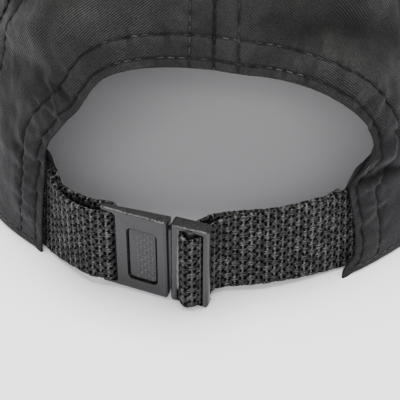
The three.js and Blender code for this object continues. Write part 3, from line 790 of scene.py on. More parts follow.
def plastic_material(name, colour, roughness):
    """Moulded plastic: satin faces; faces with grain on its top and bottom, painted darker there as shade;
    and pale edges, a painted highlight on the bevels that face up and outward.
    """
    look = Look(name, colour, roughness, 0.5)
    normal = look.add("TexCoord", "Normal")
    fine = look.noise(5200, 2, 0.6)
    coarse = look.noise(2300, 2, 0.7)
    plain = look.mix(look.noise(120, 2), tuple(c * 0.88 for c in colour), tuple(c * 1.12 for c in colour))
    upright = look.dot(normal, (0, 0, 1))
    # top and bottom faces: real grain, and a speckled colour that paints them darker as shade
    grain_and_shade = look.range(look.math("ABSOLUTE", upright), 0.6, 0.9)
    speck = look.mix(look.range(coarse, 0.42, 0.66), (0.004, 0.004, 0.004), (0.022, 0.022, 0.0225))
    outward = look.range(look.dot(normal, (0, -1, 0)), 0.25, 0.5)
    # pale edges: a painted highlight on the bevels that face up and towards -y
    painted_edge_highlight = look.times(look.times(look.range(upright, 0.3, 0.5), outward), look.range(coarse, 0.38, 0.62))
    look.set("Base Color", look.mix(painted_edge_highlight, look.mix(grain_and_shade, plain, speck), (0.12, 0.12, 0.123)))
    rough = look.range(fine, 0.3, 0.7, roughness - 0.05, roughness + 0.08)
    look.set("Roughness", look.math("ADD", rough, look.times(grain_and_shade, 0.3)))
    look.set("Specular IOR Level", look.range(grain_and_shade, 0, 1, 0.36, 0.1))
    satin = look.bump(fine, 0.00005, 0.5)
    look.bump(look.times(coarse, grain_and_shade), 0.0002, 0.8, satin)
    return look.material


def thread_material(name, colour):
    look = Look(name, colour, 0.6, 0.12)
    twist = look.noise(4200, 1)
    uneven = look.range(look.noise(170, 2), 0.35, 0.65)
    amount = look.times(uneven, look.range(twist, 0.3, 0.7, 0.5, 1.0))
    look.set("Base Color", look.mix(amount, (0.002, 0.002, 0.002), colour))
    look.bump(twist, 0.00005, 0.6)
    return look.material


def band_material():
    look = Look("band_black", (0.02, 0.02, 0.022), 0.85, 0.25)
    look.set("Sheen Weight", 0.05)
    uv = look.cloth_uv()
    rate = 2 * np.pi / (KNIT_PITCH * MM)
    knit = look.times(look.wave(look.dot(uv, (1, 0, 0)), rate), look.wave(look.dot(uv, (0, 1, 0)), rate))
    knit = look.range(knit, -1, 1)
    mottle = look.range(look.noise(700, 3, vector=uv), 0.3, 0.7, 0.6, 1.2)
    amount = look.times(knit, mottle, clamp=True)
    look.set("Base Color", look.mix(amount, (0.004, 0.004, 0.0045), (0.034, 0.034, 0.036)))
    look.bump(knit, 0.00015, 0.7)
    return look.material


CLOTH_RIGHT = cloth_material("twill_right", -52)
CLOTH_LEFT = cloth_material("twill_left", 52)
CLOTH_PEAK = cloth_material("twill_peak", 45)
WEBBING = webbing_material()
PLASTIC = plastic_material("buckle_satin", (0.012, 0.012, 0.0125), 0.24)
# the pad's grip dots: the buckle's plastic in a lighter copy, painted light as the dots' highlights
LIT_GRIP = plastic_material("buckle_grip_lit", (0.026, 0.026, 0.027), 0.26)
# the same dark thread in two copies: this lighter one is painted as lit, for rows on the top and back of the
# crown, the peak and the band
THREAD_LIT = thread_material("thread_lit", (0.072, 0.072, 0.073))
# the darker copy, painted as shaded, for the hem's rows on the sides and the side seams; it also draws the
# dark dashes on the seams
THREAD_DARK = thread_material("thread_dark", (0.006, 0.006, 0.006))
BAND = band_material()


# crown panels
def both_ends(near, middle, length):
    """Places near 0, then the middle ones, then the first again from the far end."""
    return np.concatenate([near, middle, length - np.array(near)[::-1]])


def spaced(length, fine, coarse, edge):
    """Places from 0 to length: fine steps within edge of both ends and coarse ones between."""
    near = np.concatenate([[0, 0.08, 0.2, 0.36, 0.56], np.arange(0.8, edge, fine)])
    middle_count = max(int((length - 2 * edge) / coarse), 2)
    return both_ends(near, np.linspace(edge, length - edge, middle_count), length)


def add_gore(name, material, angle, share, middle, has_arch, flip=False):
    front, row, seam, up, painted_shading = cloth(angle, share, has_arch)
    back = cloth(angle, share, has_arch, inner=True)[0]
    across = signed(angle - middle) * ring_radius(angle, np.clip(share, 0, 0.995))
    plain = np.full(row.shape, NO_STITCH)
    # the fold attribute carries the painted shading of the creases and of the hem's edge
    add_sheet(name + "_cloth", (material, name, "crown_cloth"), front, back, across, up, flip,
              row=(row, plain), seam=(seam, plain), fold=(painted_shading, plain * 0))


def add_panel(name, start, material):
    """A gore without the arch: its columns run up between two seams."""
    width = spaced(GORE_WIDTH, 0.5, 1.05, 3.0) / GORE_WIDTH
    height = spaced(GORE_RISE, 0.5, 1.15, 4.0) / GORE_RISE
    share_of = np.interp(height, np.linspace(0, 1, SHARE_STEPS + 1), table_share)
    u, v = np.meshgrid(width, share_of, indexing="ij")
    gap = 0.04 / ring_radius(np.full_like(v, start), np.clip(v, 0, 0.98))
    angle = start + gap + u * (PANEL_ANGLE - 2 * gap)
    add_gore(name, material, angle, v, start + PANEL_ANGLE / 2, False)


def arch_grid(side):
    """Angles and shares that run from the arch's edge out to the panel's other three edges."""
    use = edge_xz[:, 0] * side >= 0
    path = np.stack([edge_angle[use], edge_share[use]], -1)
    run = edge_run[use]
    if side > 0:
        path = path[::-1]
        run = run[-1] - run[::-1]
    run = run - run[0]
    places = np.concatenate([[0, 0.12, 0.3, 0.55], np.arange(0.85, run[-1] - 0.7, 0.55),
                             run[-1] - np.array([0.55, 0.3, 0.12, 0.04])])
    inner = points_at(places, run, path)
    inner[-1, 0] = side * 0.0005
    s = places / run[-1]
    turn = 0.84
    far_angle = np.where(s < turn, 1.0, 1 - (s - turn) / (1 - turn))
    far_share = np.where(s < turn, (s / turn) ** 1.1, 1.0)
    far_angle = np.clip(far_angle, 0, 1) * (PANEL_ANGLE - 0.0005) * side
    far_angle[-1] = side * 0.0005
    outer = np.stack([far_angle, far_share], -1)
    reach = np.linalg.norm(crown_base(*inner.T) - crown_base(*outer.T), axis=1)
    near = np.concatenate([[0, 0.04, 0.14, 0.3, 0.5, 0.75], np.arange(1.1, 12.5, 0.42)])
    count = 95
    grid = []
    for k in range(len(s)):
        length = reach[k]
        close = near[near < length * 0.45]
        close = np.interp(np.linspace(0, 1, 33), np.linspace(0, 1, len(close)), close)
        rest = np.linspace(0, 1, count - 32)[1:] ** 1.15
        far = close[-1] + (length - close[-1]) * rest
        t = np.concatenate([close, far]) / length
        grid.append(inner[k] * (1 - t[:, None]) + outer[k] * t[:, None])
    return np.array(grid)


def add_arch_panel(name, side, material):
    grid = arch_grid(side)
    share = np.clip(grid[..., 1], 0, 1)
    add_gore(name, material, grid[..., 0], share, side * PANEL_ANGLE / 2, True, flip=side > 0)


add_arch_panel("panel_back_right", 1, CLOTH_RIGHT)
add_arch_panel("panel_back_left", -1, CLOTH_LEFT)
add_panel("panel_side_right", SEAM_ANGLES[1], CLOTH_LEFT)
add_panel("panel_front_right", SEAM_ANGLES[2], CLOTH_RIGHT)
add_panel("panel_front_left", SEAM_ANGLES[3], CLOTH_LEFT)
add_panel("panel_side_left", SEAM_ANGLES[4], CLOTH_RIGHT)


# stitches: short threads that rise out of the cloth and dip back into it
def stitches(name, runs, material, pitch=STITCH_PITCH, length=STITCH_LENGTH, radius=THREAD_RADIUS):
    rings = np.array([-1.0, -0.72, -0.3, 0.3, 0.72, 1.0])
    widths = np.array([0.35, 0.9, 1.0, 1.0, 0.9, 0.35])
    heights = np.array([-0.28, 0.02, 0.12, 0.12, 0.02, -0.28])
    sides = 6
    points = []
    faces = []
    for path, normals in runs:
        run = length_along(path)
        centres = np.arange(pitch * 0.6, run[-1] - pitch * 0.5, pitch)
        for k, centre in enumerate(centres):
            wobble = 0.07 * np.sin(k * 2.4)
            at = centre + rings * length / 2
            spine = points_at(at, run, path)
            up = points_at(at, run, normals)
            up /= np.linalg.norm(up, axis=1, keepdims=True)
            way = spine[-1] - spine[0]
            way /= np.linalg.norm(way)
            aside = np.cross(way, up)
            spine = spine + up * heights[:, None] + aside * (rings * wobble)[:, None]
            start = len(points)
            for ring in range(len(rings)):
                for side in range(sides):
                    turn = 2 * np.pi * side / sides
                    r = radius * widths[ring]
                    out = aside[ring] * (r * np.cos(turn)) + up[ring] * (r * np.sin(turn))
                    points.append(spine[ring] + out)
            for ring in range(len(rings) - 1):
                for side in range(sides):
                    a = start + ring * sides + side
                    b = start + ring * sides + (side + 1) % sides
                    faces.append((a, b, b + sides, a + sides))
            faces.append(tuple(start + np.arange(sides)[::-1]))
            faces.append(tuple(start + (len(rings) - 1) * sides + np.arange(sides)))
    obj = make_object(name, np.array(points), faces)
    finish(obj, material, None, "crown_cloth")


def on_cloth(angle, share, has_arch):
    return cloth(angle, share, has_arch)[0], crown_normal(angle, share)


def hem_row(side, distance):
    grid = arch_grid(side)
    angle, share = grid[:, :48, 0], np.clip(grid[:, :48, 1], 0, 1)
    d, _ = arch_distance(crown_point(angle, share))
    places = np.stack([angle, share], -1)
    out = []
    for k in range(len(angle)):
        past = np.argmax(d[k] >= distance)
        if d[k, past] < distance or past == 0:
            continue
        w = (distance - d[k, past - 1]) / (d[k, past] - d[k, past - 1])
        out.append(places[k, past - 1] * (1 - w) + places[k, past] * w)
    out = np.array(out)
    out = out[out[:, 1] > 0.02]
    return on_cloth(out[:, 0], out[:, 1], True)


def seam_row(seam, aside, from_share, has_arch):
    share = np.linspace(from_share, 0.985, 260)
    angle = np.full_like(share, seam)
    for _ in range(6):
        angle = seam + aside / ring_radius(angle, share)
    keep = np.abs(angle - seam) < 27 * DEG
    return on_cloth(angle[keep], share[keep], has_arch)


lit_runs = []
shaded_runs = []
dark_runs = []
for side in (-1, 1):
    for distance in (HEM_ROW_INNER, HEM_ROW_OUTER):
        hem_path, hem_normals = hem_row(side, distance)
        # hem rows: the lit copy of the thread on the top of the arch, the shaded copy on its sides
        top = np.abs(hem_path[:, 0]) < HEM_LIT_REACH
        lit_runs.append((hem_path[top], hem_normals[top]))
        shaded_runs.append((hem_path[~top], hem_normals[~top]))
for number, seam in enumerate(SEAM_ANGLES):
    bottom = 0.435 if number == 0 else 0.03
    dark_path, dark_normals = seam_row(seam, 0.001, bottom, number == 0)
    dark_runs.append((dark_path + dark_normals * 0.55, dark_normals))
    # the side seams' rows get the shaded copy of the thread
    runs = shaded_runs if number in (1, 5) else lit_runs
    for aside in (-SEAM_ROW, SEAM_ROW):
        runs.append(seam_row(seam, aside, bottom, number == 0))
for low, high in ((29.5, 59.5), (60.5, 119.5), (120.5, 179.5), (180.5, 239.5), (240.5, 299.5), (300.5, 322)):
    angle = np.linspace(low, high, 160) * DEG
    share = share_at(angle, RIM_ROW)
    lit_runs.append(on_cloth(angle, share, False))
stitches("stitches_crown", lit_runs, THREAD_LIT)
stitches("stitches_hem_sides", shaded_runs, THREAD_DARK)
stitches("stitches_seams", dark_runs, THREAD_DARK, STITCH_PITCH + 0.3, 2.3, 0.33)


# peak: top and bottom cloth over a board, sewn with rows that follow its edge
def peak_grid(u, v, thick_share):
    aside = 2 * u - 1
    angle = np.pi - aside * PEAK_SPAN
    inner = crown_base(angle, np.zeros_like(angle)) + crown_normal(angle, np.zeros_like(angle)) * PEAK_GAP
    turn = aside * np.pi / 2
    x = PEAK_HALF_WIDTH * np.sin(turn)
    y = PEAK_CORNER_Y + (PEAK_REACH - PEAK_CORNER_Y) * np.abs(np.cos(turn)) ** PEAK_ROUNDNESS
    z = PEAK_ARCH * (1 - (x / PEAK_HALF_WIDTH) ** 2)
    outer = np.stack([x, y, z], -1)
    to_end = np.clip((1 - np.abs(aside)) / PEAK_CORNER_SHARE, 0, 1)
    full = PEAK_CORNER_KEPT + (1 - PEAK_CORNER_KEPT) * np.sqrt(1 - (1 - to_end) ** 2)
    outer = inner + (outer - inner) * full[..., None]
    point = inner * (1 - v[..., None]) + outer * v[..., None]
    reach = np.linalg.norm(outer - inner, axis=-1)
    edge = np.minimum((1 - v) * reach, v * reach + 0.6)
    groove = 0
    for row in PEAK_ROWS:
        groove = groove + 0.22 * gauss((v - row) * reach / 0.6)
    roll = round_edge(edge, PEAK_THICK / 2)
    half = PEAK_THICK / 2 - roll - groove * smooth_step(edge / 2)
    point[..., 2] += PEAK_THICK / 2 + half * thick_share
    return point, reach


def add_peak():
    u_places = np.linspace(0, 1, 200)
    by_edge = 0.97 + 0.03 * np.sin(np.linspace(0, np.pi / 2, 9))
    v_places = np.concatenate([np.linspace(0, 0.97, 96), by_edge[1:]])
    u, v = np.meshgrid(u_places, v_places, indexing="ij")
    top, reach = peak_grid(u, v, 1)
    bottom, _ = peak_grid(u, v, -1)
    bottom[..., 2] = np.maximum(bottom[..., 2], 0.0)
    row = np.min([np.abs(v - r) * reach for r in PEAK_ROWS], axis=0)
    plain = np.full(row.shape, NO_STITCH)
    add_sheet("peak_cloth", (CLOTH_PEAK, "peak", "crown_cloth"), top, bottom, top[..., 0], top[..., 1],
              flip=True, row=(row, row), seam=(plain, plain))
    runs = []
    for r in PEAK_ROWS:
        u_line = np.linspace(0.03, 0.97, 400)
        line, _ = peak_grid(u_line, np.full_like(u_line, r), 1)
        up = np.tile([0.0, 0.0, 1.0], (len(u_line), 1))
        runs.append((line, up))
    stitches("stitches_peak", runs, THREAD_LIT)


add_peak()


# sweatband
def add_band():
    along = both_ends([0, 0.0002, 0.0005, 0.001, 0.0016], np.linspace(0.003, 0.997, 300), 1)
    height = both_ends([0, 0.06, 0.2, 0.45, 0.8], np.linspace(1.4, BAND_HEIGHT - 1.4, 36), BAND_HEIGHT)
    w, h = np.meshgrid(along, height, indexing="ij")
    near_end = np.minimum(w, 1 - w) * BAND_LENGTH
    corner = np.where(w < 0.5, 6.0, 3.0)
    ends = BAND_END_DROP * (1 - smooth_step(near_end / 26))
    ends = ends + corner * (1 - np.clip(near_end / corner, 0, 1)) ** 2
    top = BAND_HEIGHT - ends
    low_part = h / BAND_HEIGHT
    h = h - ends * low_part
    first = BAND_START[0] + (BAND_START[1] - BAND_START[0]) * h / BAND_HEIGHT
    last = BAND_END[0] + (BAND_END[1] - BAND_END[0]) * h / BAND_HEIGHT
    a = first + (last - first) * w
    from_end = np.minimum(a - first, last - a)
    ease = smooth_step((from_end - BAND_EXTRA_FLAT) / BAND_EXTRA_SPAN)
    inset = PANEL_THICK + BAND_GAP + BAND_EXTRA_INSET * (1 - ease)
    share = share_at(a, h)
    half = BAND_THICK / 2
    drop = np.maximum(round_edge(h, half), round_edge(top - h, half))
    drop = np.maximum(drop, round_edge(from_end * CLOTH_PER_RADIAN, half))
    ripple = 0.12 * np.sin(a * 61) + 0.08 * np.sin(a * 97 + h * 0.2)
    puffed = (ripple + 0.25 * np.sin(np.pi * h / BAND_HEIGHT)) * np.clip(from_end * 20, 0, 1)
    outer = crown_point(a, share, inset + drop)
    inner = crown_point(a, share, inset + BAND_THICK - drop + puffed)
    outer[..., 2] = np.maximum(outer[..., 2], 0)
    inner[..., 2] = np.maximum(inner[..., 2], 0)
    add_sheet("sweatband_cloth", (BAND, "sweatband", "band_cloth"), outer, inner, a * BAND_PER_RADIAN, h)
    rows = []
    for level in (3, 39):
        spot = a[:, level], share[:, level]
        line = crown_point(*spot, inset[:, level] + BAND_THICK + 0.2 + puffed[:, level])
        rows.append((line, -crown_normal(*spot)))
    stitches("stitches_band", rows, THREAD_LIT)


add_band()


# seam tape on the inside
def add_tapes():
    for number, seam in enumerate(SEAM_ANGLES):
        low = 0.47 if number == 0 else 0.27
        share = np.linspace(low, 0.965, 120)
        across = np.linspace(-TAPE_HALF_WIDTH, TAPE_HALF_WIDTH, 15)
        s, w = np.meshgrid(share, across, indexing="ij")
        angle = seam + np.clip(w / ring_radius(np.full_like(s, seam), s), -26 * DEG, 26 * DEG)
        hump = 0.35 * gauss(w / 2.2)
        inset = PANEL_THICK + TAPE_GAP + hump
        face_out = crown_point(angle, s, inset)
        face_in = crown_point(angle, s, inset + TAPE_THICK)
        add_sheet(f"seam_tape_{number + 1}", (BAND, None, "band_cloth"), face_out, face_in, w, rise(angle, s),
                  flip=True)


add_tapes()


# button
def add_button():
    seat = CROWN_HEIGHT + GAP
    crimp = CROWN_HEIGHT - CRIMP_DROP
    profile = [(0.02, crimp - 0.8), (4.9, crimp - 0.8), (5.5, crimp - 0.4), (5.3, crimp), (3, crimp + 0.4),
               (3, seat), (6.6, seat), (7.25, seat + 0.15), (BUTTON_RADIUS, seat + 0.7)]
    for k in range(1, 15):
        turn = k / 15 * np.pi / 2
        profile.append((BUTTON_RADIUS * np.cos(turn), seat + 0.8 + 3.4 * np.sin(turn)))
    profile.append((0.02, seat + BUTTON_HEIGHT))
    sides = 72
    turns = np.linspace(0, 2 * np.pi, sides, endpoint=False)
    points = []
    for turn in turns:
        for r, z in profile:
            pleat = 1 + 0.012 * np.sin(turn * 6) * (z > seat + 0.5)
            points.append((r * pleat * np.cos(turn), r * pleat * np.sin(turn), z))
    points = np.array(points)
    faces = list(grid_faces(sides, len(profile), wrap=True))
    uv = points[:, :2]
    obj = make_object("top_button_cloth", points, faces, uv,
                      dict.fromkeys(("row", "seam"), np.full(len(points), NO_STITCH)))
    finish(obj, CLOTH_PEAK, "top_button", "crown_cloth")


add_button()


# webbing: a ribbon between a lower and an upper path, six numbers to each place
def station(low_x, low_y, high_x, high_y, drop=0.0):
    return (low_x, low_y, WEB_BOTTOM - drop, high_x, high_y, WEB_TOP - drop)


def inside_wall(degrees, inset, drop=0.0):
    angle = np.array(degrees * DEG)
    low = crown_point(angle, share_at(angle, WEB_BOTTOM), inset)
    high = crown_point(angle, share_at(angle, WEB_TOP), inset)
    return station(low[0], low[1], high[0], high[1], drop)


def layer_behind(place, distance, drop=0.0):
    out = []
    for x, y, z in (place[:3], place[3:]):
        inward = np.array([-x / RIM_HALF_WIDTH ** 2, -y / RIM_HALF_LENGTH ** 2])
        inward /= np.linalg.norm(inward)
        out += [x + inward[0] * distance, y + inward[1] * distance, z - drop]
    return tuple(out)


def turned(angle, axis):
    return np.array(Matrix.Rotation(angle, 4, axis))


def buckle_frame(place, turn, roll):
    move = np.eye(4)
    move[:3, 3] = place
    return move @ turned(turn, "Z") @ turned(roll, "Y") @ turned(BUCKLE_TILT, "X")


def in_frame(frame, points):
    points = np.asarray(points, float)
    return points @ frame[:3, :3].T + frame[:3, 3]


SOCKET_FRAME = buckle_frame(SOCKET_PLACE, SOCKET_TURN, SOCKET_ROLL)
SLIDER_PLACE = in_frame(SOCKET_FRAME, (SOCKET_RIGHT + JOINT_GAP, 0, 0))
SLIDER_FRAME = buckle_frame(SLIDER_PLACE, SLIDER_TURN, SLIDER_ROLL)


def on_buckle(place, along, depth, foot):
    width = WEB_TOP - WEB_BOTTOM
    return (*in_frame(place, (along, depth, foot)), *in_frame(place, (along, depth, foot + width)))


def at_socket(along, depth):
    return on_buckle(SOCKET_FRAME, along, depth, WEB_IN_SOCKET)


def at_slider(along, depth):
    return on_buckle(SLIDER_FRAME, along, depth, WEB_IN_SLIDER)


def at_loop(along, depth):
    proud = smooth_step((-depth - WEB_THICK / 2 - GAP) / WEB_THICK)
    return on_buckle(SLIDER_FRAME, along, depth, WEB_IN_SLIDER + (WEB_LOOP_FRONT - WEB_IN_SLIDER) * proud)


def round_bar(to_buckle, bar, start, end, count):
    u, depth, bar_radius = bar
    radius = bar_radius + BAR_GAP + WEB_THICK / 2
    turns = np.linspace(start, end, count + 1) * DEG
    return [to_buckle(u + radius * np.cos(t), depth + radius * np.sin(t)) for t in turns]


LAYER_STEP = WEB_THICK + GAP
LEFT_HEM_DROP = 1.2
RIGHT_HEM_DROP = 1.4
left_front = [
    station(-46.1, -77.0, -44.9, -72.8, 1.4),
    station(-42.7, -81.1, -42.4, -81.0, 1.1),
    station(-39.4, -84.5, -39.4, -86.4, 0.7),
    station(-36.2, -87.6, -36.2, -89.6, 0.2),
    station(-33.0, -90.4, -33.0, -92.2, -0.35),
]
left_back = [
    layer_behind(left_front[4], 4.1, -0.25),
    layer_behind(left_front[3], 3.9),
    layer_behind(left_front[2], 3.3),
    layer_behind(left_front[1], 2.0, 0.3),
    layer_behind(left_front[0], 1.7, 0.4),
]
strap_left_path = [
    inside_wall(-50, LAYER_INSET, LEFT_HEM_DROP),
    inside_wall(-43, LAYER_INSET, LEFT_HEM_DROP),
    inside_wall(-38.5, LAYER_INSET, LEFT_HEM_DROP),
    *left_front,
    *round_bar(at_socket, SOCKET_BAR, -90, 90, 6),
    *left_back,
    inside_wall(-38.5, LAYER_INSET + LAYER_STEP, LEFT_HEM_DROP),
    inside_wall(-43, LAYER_INSET + LAYER_STEP, LEFT_HEM_DROP),
    inside_wall(-50, LAYER_INSET + LAYER_STEP, LEFT_HEM_DROP),
]
right_front = [
    station(36.1, -82.8, 35.1, -80.8, 1.4),
    station(32.0, -84.9, 31.8, -84.0, 1.2),
    station(28.4, -86.7, 28.4, -85.8, 0.9),
    station(23.6, -88.9, 23.6, -88.0, 0.6),
    station(18.9, -90.5, 18.9, -90.0, 0.3),
    station(14.2, -92.0, 14.2, -91.6, 0.1),
    station(9.6, -92.6, 9.6, -92.4, 0.25),
    station(5.0, -93.0, 5.0, -93.1, 0.4),
]
TAIL_DROPS = [0.1, 0.35, 0.5, 0.8, 0.9, 0.6, 0.3, 0.15]
tail = [layer_behind(p, LAYER_STEP + 0.04, d) for p, d in zip(right_front, TAIL_DROPS)][::-1]
strap_right_path = [
    inside_wall(43, LAYER_INSET, RIGHT_HEM_DROP),
    inside_wall(36, LAYER_INSET, RIGHT_HEM_DROP),
    inside_wall(31, LAYER_INSET, RIGHT_HEM_DROP),
    *right_front,
    at_slider(10.6, 7.1),
    at_slider(9.7, 5.2),
    at_slider(8.55, 2.4),
    *round_bar(at_loop, SLIDER_BAR, -20, -245, 10),
    on_buckle(SLIDER_FRAME, 6.3, 5.4, WEB_IN_SLIDER + 0.6),
    on_buckle(SLIDER_FRAME, 8.9, 8.5, WEB_IN_SLIDER + 0.8),
    *tail,
]


def smooth_path(stations, step):
    """Centripetal Catmull-Rom through the stations, then evenly spaced along the lower edge."""
    p = np.array(stations, float)
    p = np.vstack([2 * p[0] - p[1], p, 2 * p[-1] - p[-2]])
    out = []
    for k in range(1, len(p) - 2):
        p0, p1, p2, p3 = p[k - 1:k + 3]
        legs = (p1 - p0, p2 - p1, p3 - p2)
        d0, d1, d2 = [max(np.linalg.norm(leg[:3]) ** 0.5, 1e-4) for leg in legs]
        t1 = ((p1 - p0) / d0 - (p2 - p0) / (d0 + d1) + (p2 - p1) / d1) * d1
        t2 = ((p2 - p1) / d1 - (p3 - p1) / (d1 + d2) + (p3 - p2) / d2) * d1
        w = np.linspace(0, 1, 24, endpoint=k == len(p) - 3)[:, None]
        out.append((2 * w ** 3 - 3 * w ** 2 + 1) * p1 + (w ** 3 - 2 * w ** 2 + w) * t1
                   + (3 * w ** 2 - 2 * w ** 3) * p2 + (w ** 3 - w ** 2) * t2)
    path = np.vstack(out)
    run = length_along(path[:, :3])
    return points_at(np.linspace(0, run[-1], int(run[-1] / step) + 1), run, path)


def spread(number, seed):
    """A fixed value between 0 and 1 for each whole number."""
    value = np.sin(number * 12.9898 + seed * 78.233) * 43758.5453
    return value - np.floor(value)


def knuckles(a, b, start):
    """Height and shade of the weave: broad knuckles in columns, with a narrow stem between them."""
    column = np.floor(a / WEFT_PITCH)
    height = np.zeros_like(a)
    shade = np.full_like(a, 0.15)
    for step in (-1, 0, 1):
        at = column + step
        x = (a / WEFT_PITCH - at - 0.5) * 2
        rise_of = b / (2 * WARP_PITCH) + 0.5 * ((at + start) % 2) + 0.14 * (spread(at, 3.0) - 0.5)
        row = np.floor(rise_of)
        chance = spread(at * 7 + row * 3, start)
        other = spread(at * 5 + row * 11, start + 0.5)
        y = (rise_of - row - 0.5) * 2 + 0.16 * (other - 0.5) * x
        half = 0.66 + 0.12 * chance
        knuckle = np.clip(1 - np.abs((x + 0.1) / 1.32) ** 3.2 - np.abs(y / half) ** 2.8, 0, 1) ** 0.5
        stem = 0.74 * np.clip(1 - np.abs(x / (0.30 + 0.14 * other)) ** 3, 0, 1) * (np.abs(y) > half - 0.14)
        on_stem = stem > knuckle
        yarn = np.where(on_stem, stem, knuckle)
        wins = yarn > height
        height = np.where(wins, yarn, height)
        # painted highlight on each knuckle's crest, a little right of its middle
        glow = gauss((x - 0.22) / (0.42 + 0.25 * chance))
        strand = 0.72 + 0.28 * np.cos(y * 9.5 + 6 * chance)
        bright = np.where(on_stem, 1.05, (0.55 + 0.85 * glow ** 2) * strand)
        # the knuckle's painted shading: its painted highlight times a random brightness for each knuckle
        painted_shading = bright * (0.68 + 0.74 * other)
        shade = np.where(wins, painted_shading, shade)
    return height, shade


def add_webbing(name, stations, start):
    path = smooth_path(stations, WEB_STEP)
    width = WEB_TOP - WEB_BOTTOM
    levels = both_ends([0, 0.08, 0.22], np.linspace(0.42, width - 0.42, 92), width)
    along, up = np.meshgrid(np.arange(len(path)) * WEB_STEP, levels, indexing="ij")
    share = (up / width)[..., None]
    middle = path[:, None, :3] * (1 - share) + path[:, None, 3:] * share
    way = np.gradient(middle[..., :2], axis=0)
    way /= np.linalg.norm(way, axis=-1, keepdims=True)
    side = np.stack([-way[..., 1], way[..., 0], np.zeros(along.shape)], -1)
    edge = np.minimum(up, width - up)
    end = np.minimum(along, along[-1, 0] - along)
    body = np.sqrt(np.clip(1 - (1 - np.clip(edge / WEB_EDGE_ROUND, 0, 1)) ** 2, 0, 1))
    body = body * np.sqrt(np.clip(1 - (1 - np.clip(end / WEB_END_ROUND, 0, 1)) ** 2, 0, 1))
    sides = []
    behind, _ = arch_distance(middle)
    shadow = 1 - 0.85 * smooth_step((behind + WEB_SHADOW) / WEB_SHADOW)
    for sign in (1, -1):
        h, shade = knuckles(along, up, start + (0 if sign > 0 else 1))
        shade = shade * shadow
        thick = (WEB_THICK / 2 - KNUCKLE_HEIGHT * 0.75 + KNUCKLE_HEIGHT * h) * body
        at = middle + side * (sign * thick)[..., None]
        lumpy = 0.16 * (h - 0.4) * np.where(up > width / 2, 1, -1) * np.clip(1 - edge / 0.8, 0, 1)
        at[..., 2] += lumpy
        sides.append((at, h, shade))
    faces, heights, shades = zip(*sides)
    add_sheet(name + "_webbing", (WEBBING, name, "webbing"), *faces, along, up, flip=True,
              knuckle=heights, shade=shades)


add_webbing("strap_left", strap_left_path, 0.0)
add_webbing("strap_right", strap_right_path, 1.0)


# buckle: blocks drawn along the face, inward and up, then cut, rounded and put in place
def rounded_outline(left, right, bottom, top, corner, steps=6):
    out = []
    for cx, cy, first in ((right, bottom, -90), (right, top, 0), (left, top, 90), (left, bottom, 180)):
        mx = cx + (corner if cx == left else -corner)
        my = cy + (corner if cy == bottom else -corner)
        for k in range(steps + 1):
            turn = (first + 90 * k / steps) * DEG
            out.append((mx + corner * np.cos(turn), my + corner * np.sin(turn)))
    return out


def object_from(bm, name):
    bmesh.ops.recalc_face_normals(bm, faces=bm.faces)
    mesh = bpy.data.meshes.new(name)
    bm.to_mesh(mesh)
    bm.free()
    return link(name, mesh)


def block_between(first, second):
    """A block whose sides run from one ring of points to another."""
    bm = bmesh.new()
    rings = [[bm.verts.new(point) for point in ring] for ring in (first, second)]
    bm.faces.new(rings[0])
    bm.faces.new(rings[1][::-1])
    for k in range(len(first)):
        n = (k + 1) % len(first)
        bm.faces.new((rings[0][n], rings[0][k], rings[1][k], rings[1][n]))
    return object_from(bm, "block")


def prism(outline, low, high, upright=False):
    """A prism: its outline is on the face and goes inward, or is a plan and goes up."""
    rings = [[(x, y, level) if upright else (x, level, y) for x, y in outline] for level in (low, high)]
    return block_between(*rings)


def lengthwise(profile, left, right):
    """A prism whose profile, in depth and height, runs along the face."""
    obj = prism(profile, left, right, upright=True)
    corners = np.empty(len(obj.data.vertices) * 3)
    obj.data.vertices.foreach_get("co", corners)
    corners = corners.reshape(-1, 3)[:, [2, 0, 1]]
    obj.data.vertices.foreach_set("co", corners.ravel())
    return obj


def combine(first, other, operation):
    change = first.modifiers.new("combine", "BOOLEAN")
    change.operation = operation
    change.solver = "EXACT"
    change.object = other
    settle(first)
    bpy.data.objects.remove(other)
    return first


def settle(obj):
    """Applies an object's modifiers to its mesh."""
    graph = bpy.context.evaluated_depsgraph_get()
    mesh = bpy.data.meshes.new_from_object(obj.evaluated_get(graph))
    obj.modifiers.clear()
    obj.data = mesh


def bar_block(bar):
    u, depth, radius = bar
    turns = np.linspace(0, 2 * np.pi, 40, endpoint=False)
    outline = [(u + radius * np.cos(t), depth + radius * np.sin(t)) for t in turns]
    return prism(outline, RAIL / 2, BUCKLE_HEIGHT - RAIL / 2, upright=True)


def round_edges(obj, width, segments=3):
    bevel = obj.modifiers.new("edges", "BEVEL")
    bevel.width = width
    bevel.segments = segments
    bevel.limit_method = "ANGLE"
    bevel.angle_limit = 40 * DEG
    bevel.use_clamp_overlap = True
    settle(obj)


def place_block(obj, name, frame_matrix, node, material=None):
    move = Matrix(frame_matrix.tolist())
    shift = Matrix.Translation((0, CAP_Y * MM, 0)) @ Matrix.Scale(MM, 4)
    obj.data.transform(shift @ move)
    obj.name = name
    obj.data.polygons.foreach_set("use_smooth", [True] * len(obj.data.polygons))
    obj.data.set_sharp_from_angle(angle=32 * DEG)
    finish(obj, material or PLASTIC, node, "buckle_plastic")


def taper_block(upward):
    """What is cut from the socket's back edges, more of it towards the webbing."""
    rings = []
    outside = SOCKET_THICK + 1
    for u, depth in ((SOCKET_ARM - 1, SOCKET_TAPER[0]), (SOCKET_RIGHT + 1, SOCKET_TAPER[1])):
        ring = []
        for d, z in ((depth, 0), (outside, 0), (outside, -(outside - depth) * TAPER_SLOPE)):
            level = BUCKLE_HEIGHT + 0.01 + z
            ring.append((u, d, level if upward else BUCKLE_HEIGHT - level))
        rings.append(ring)
    return block_between(*rings)


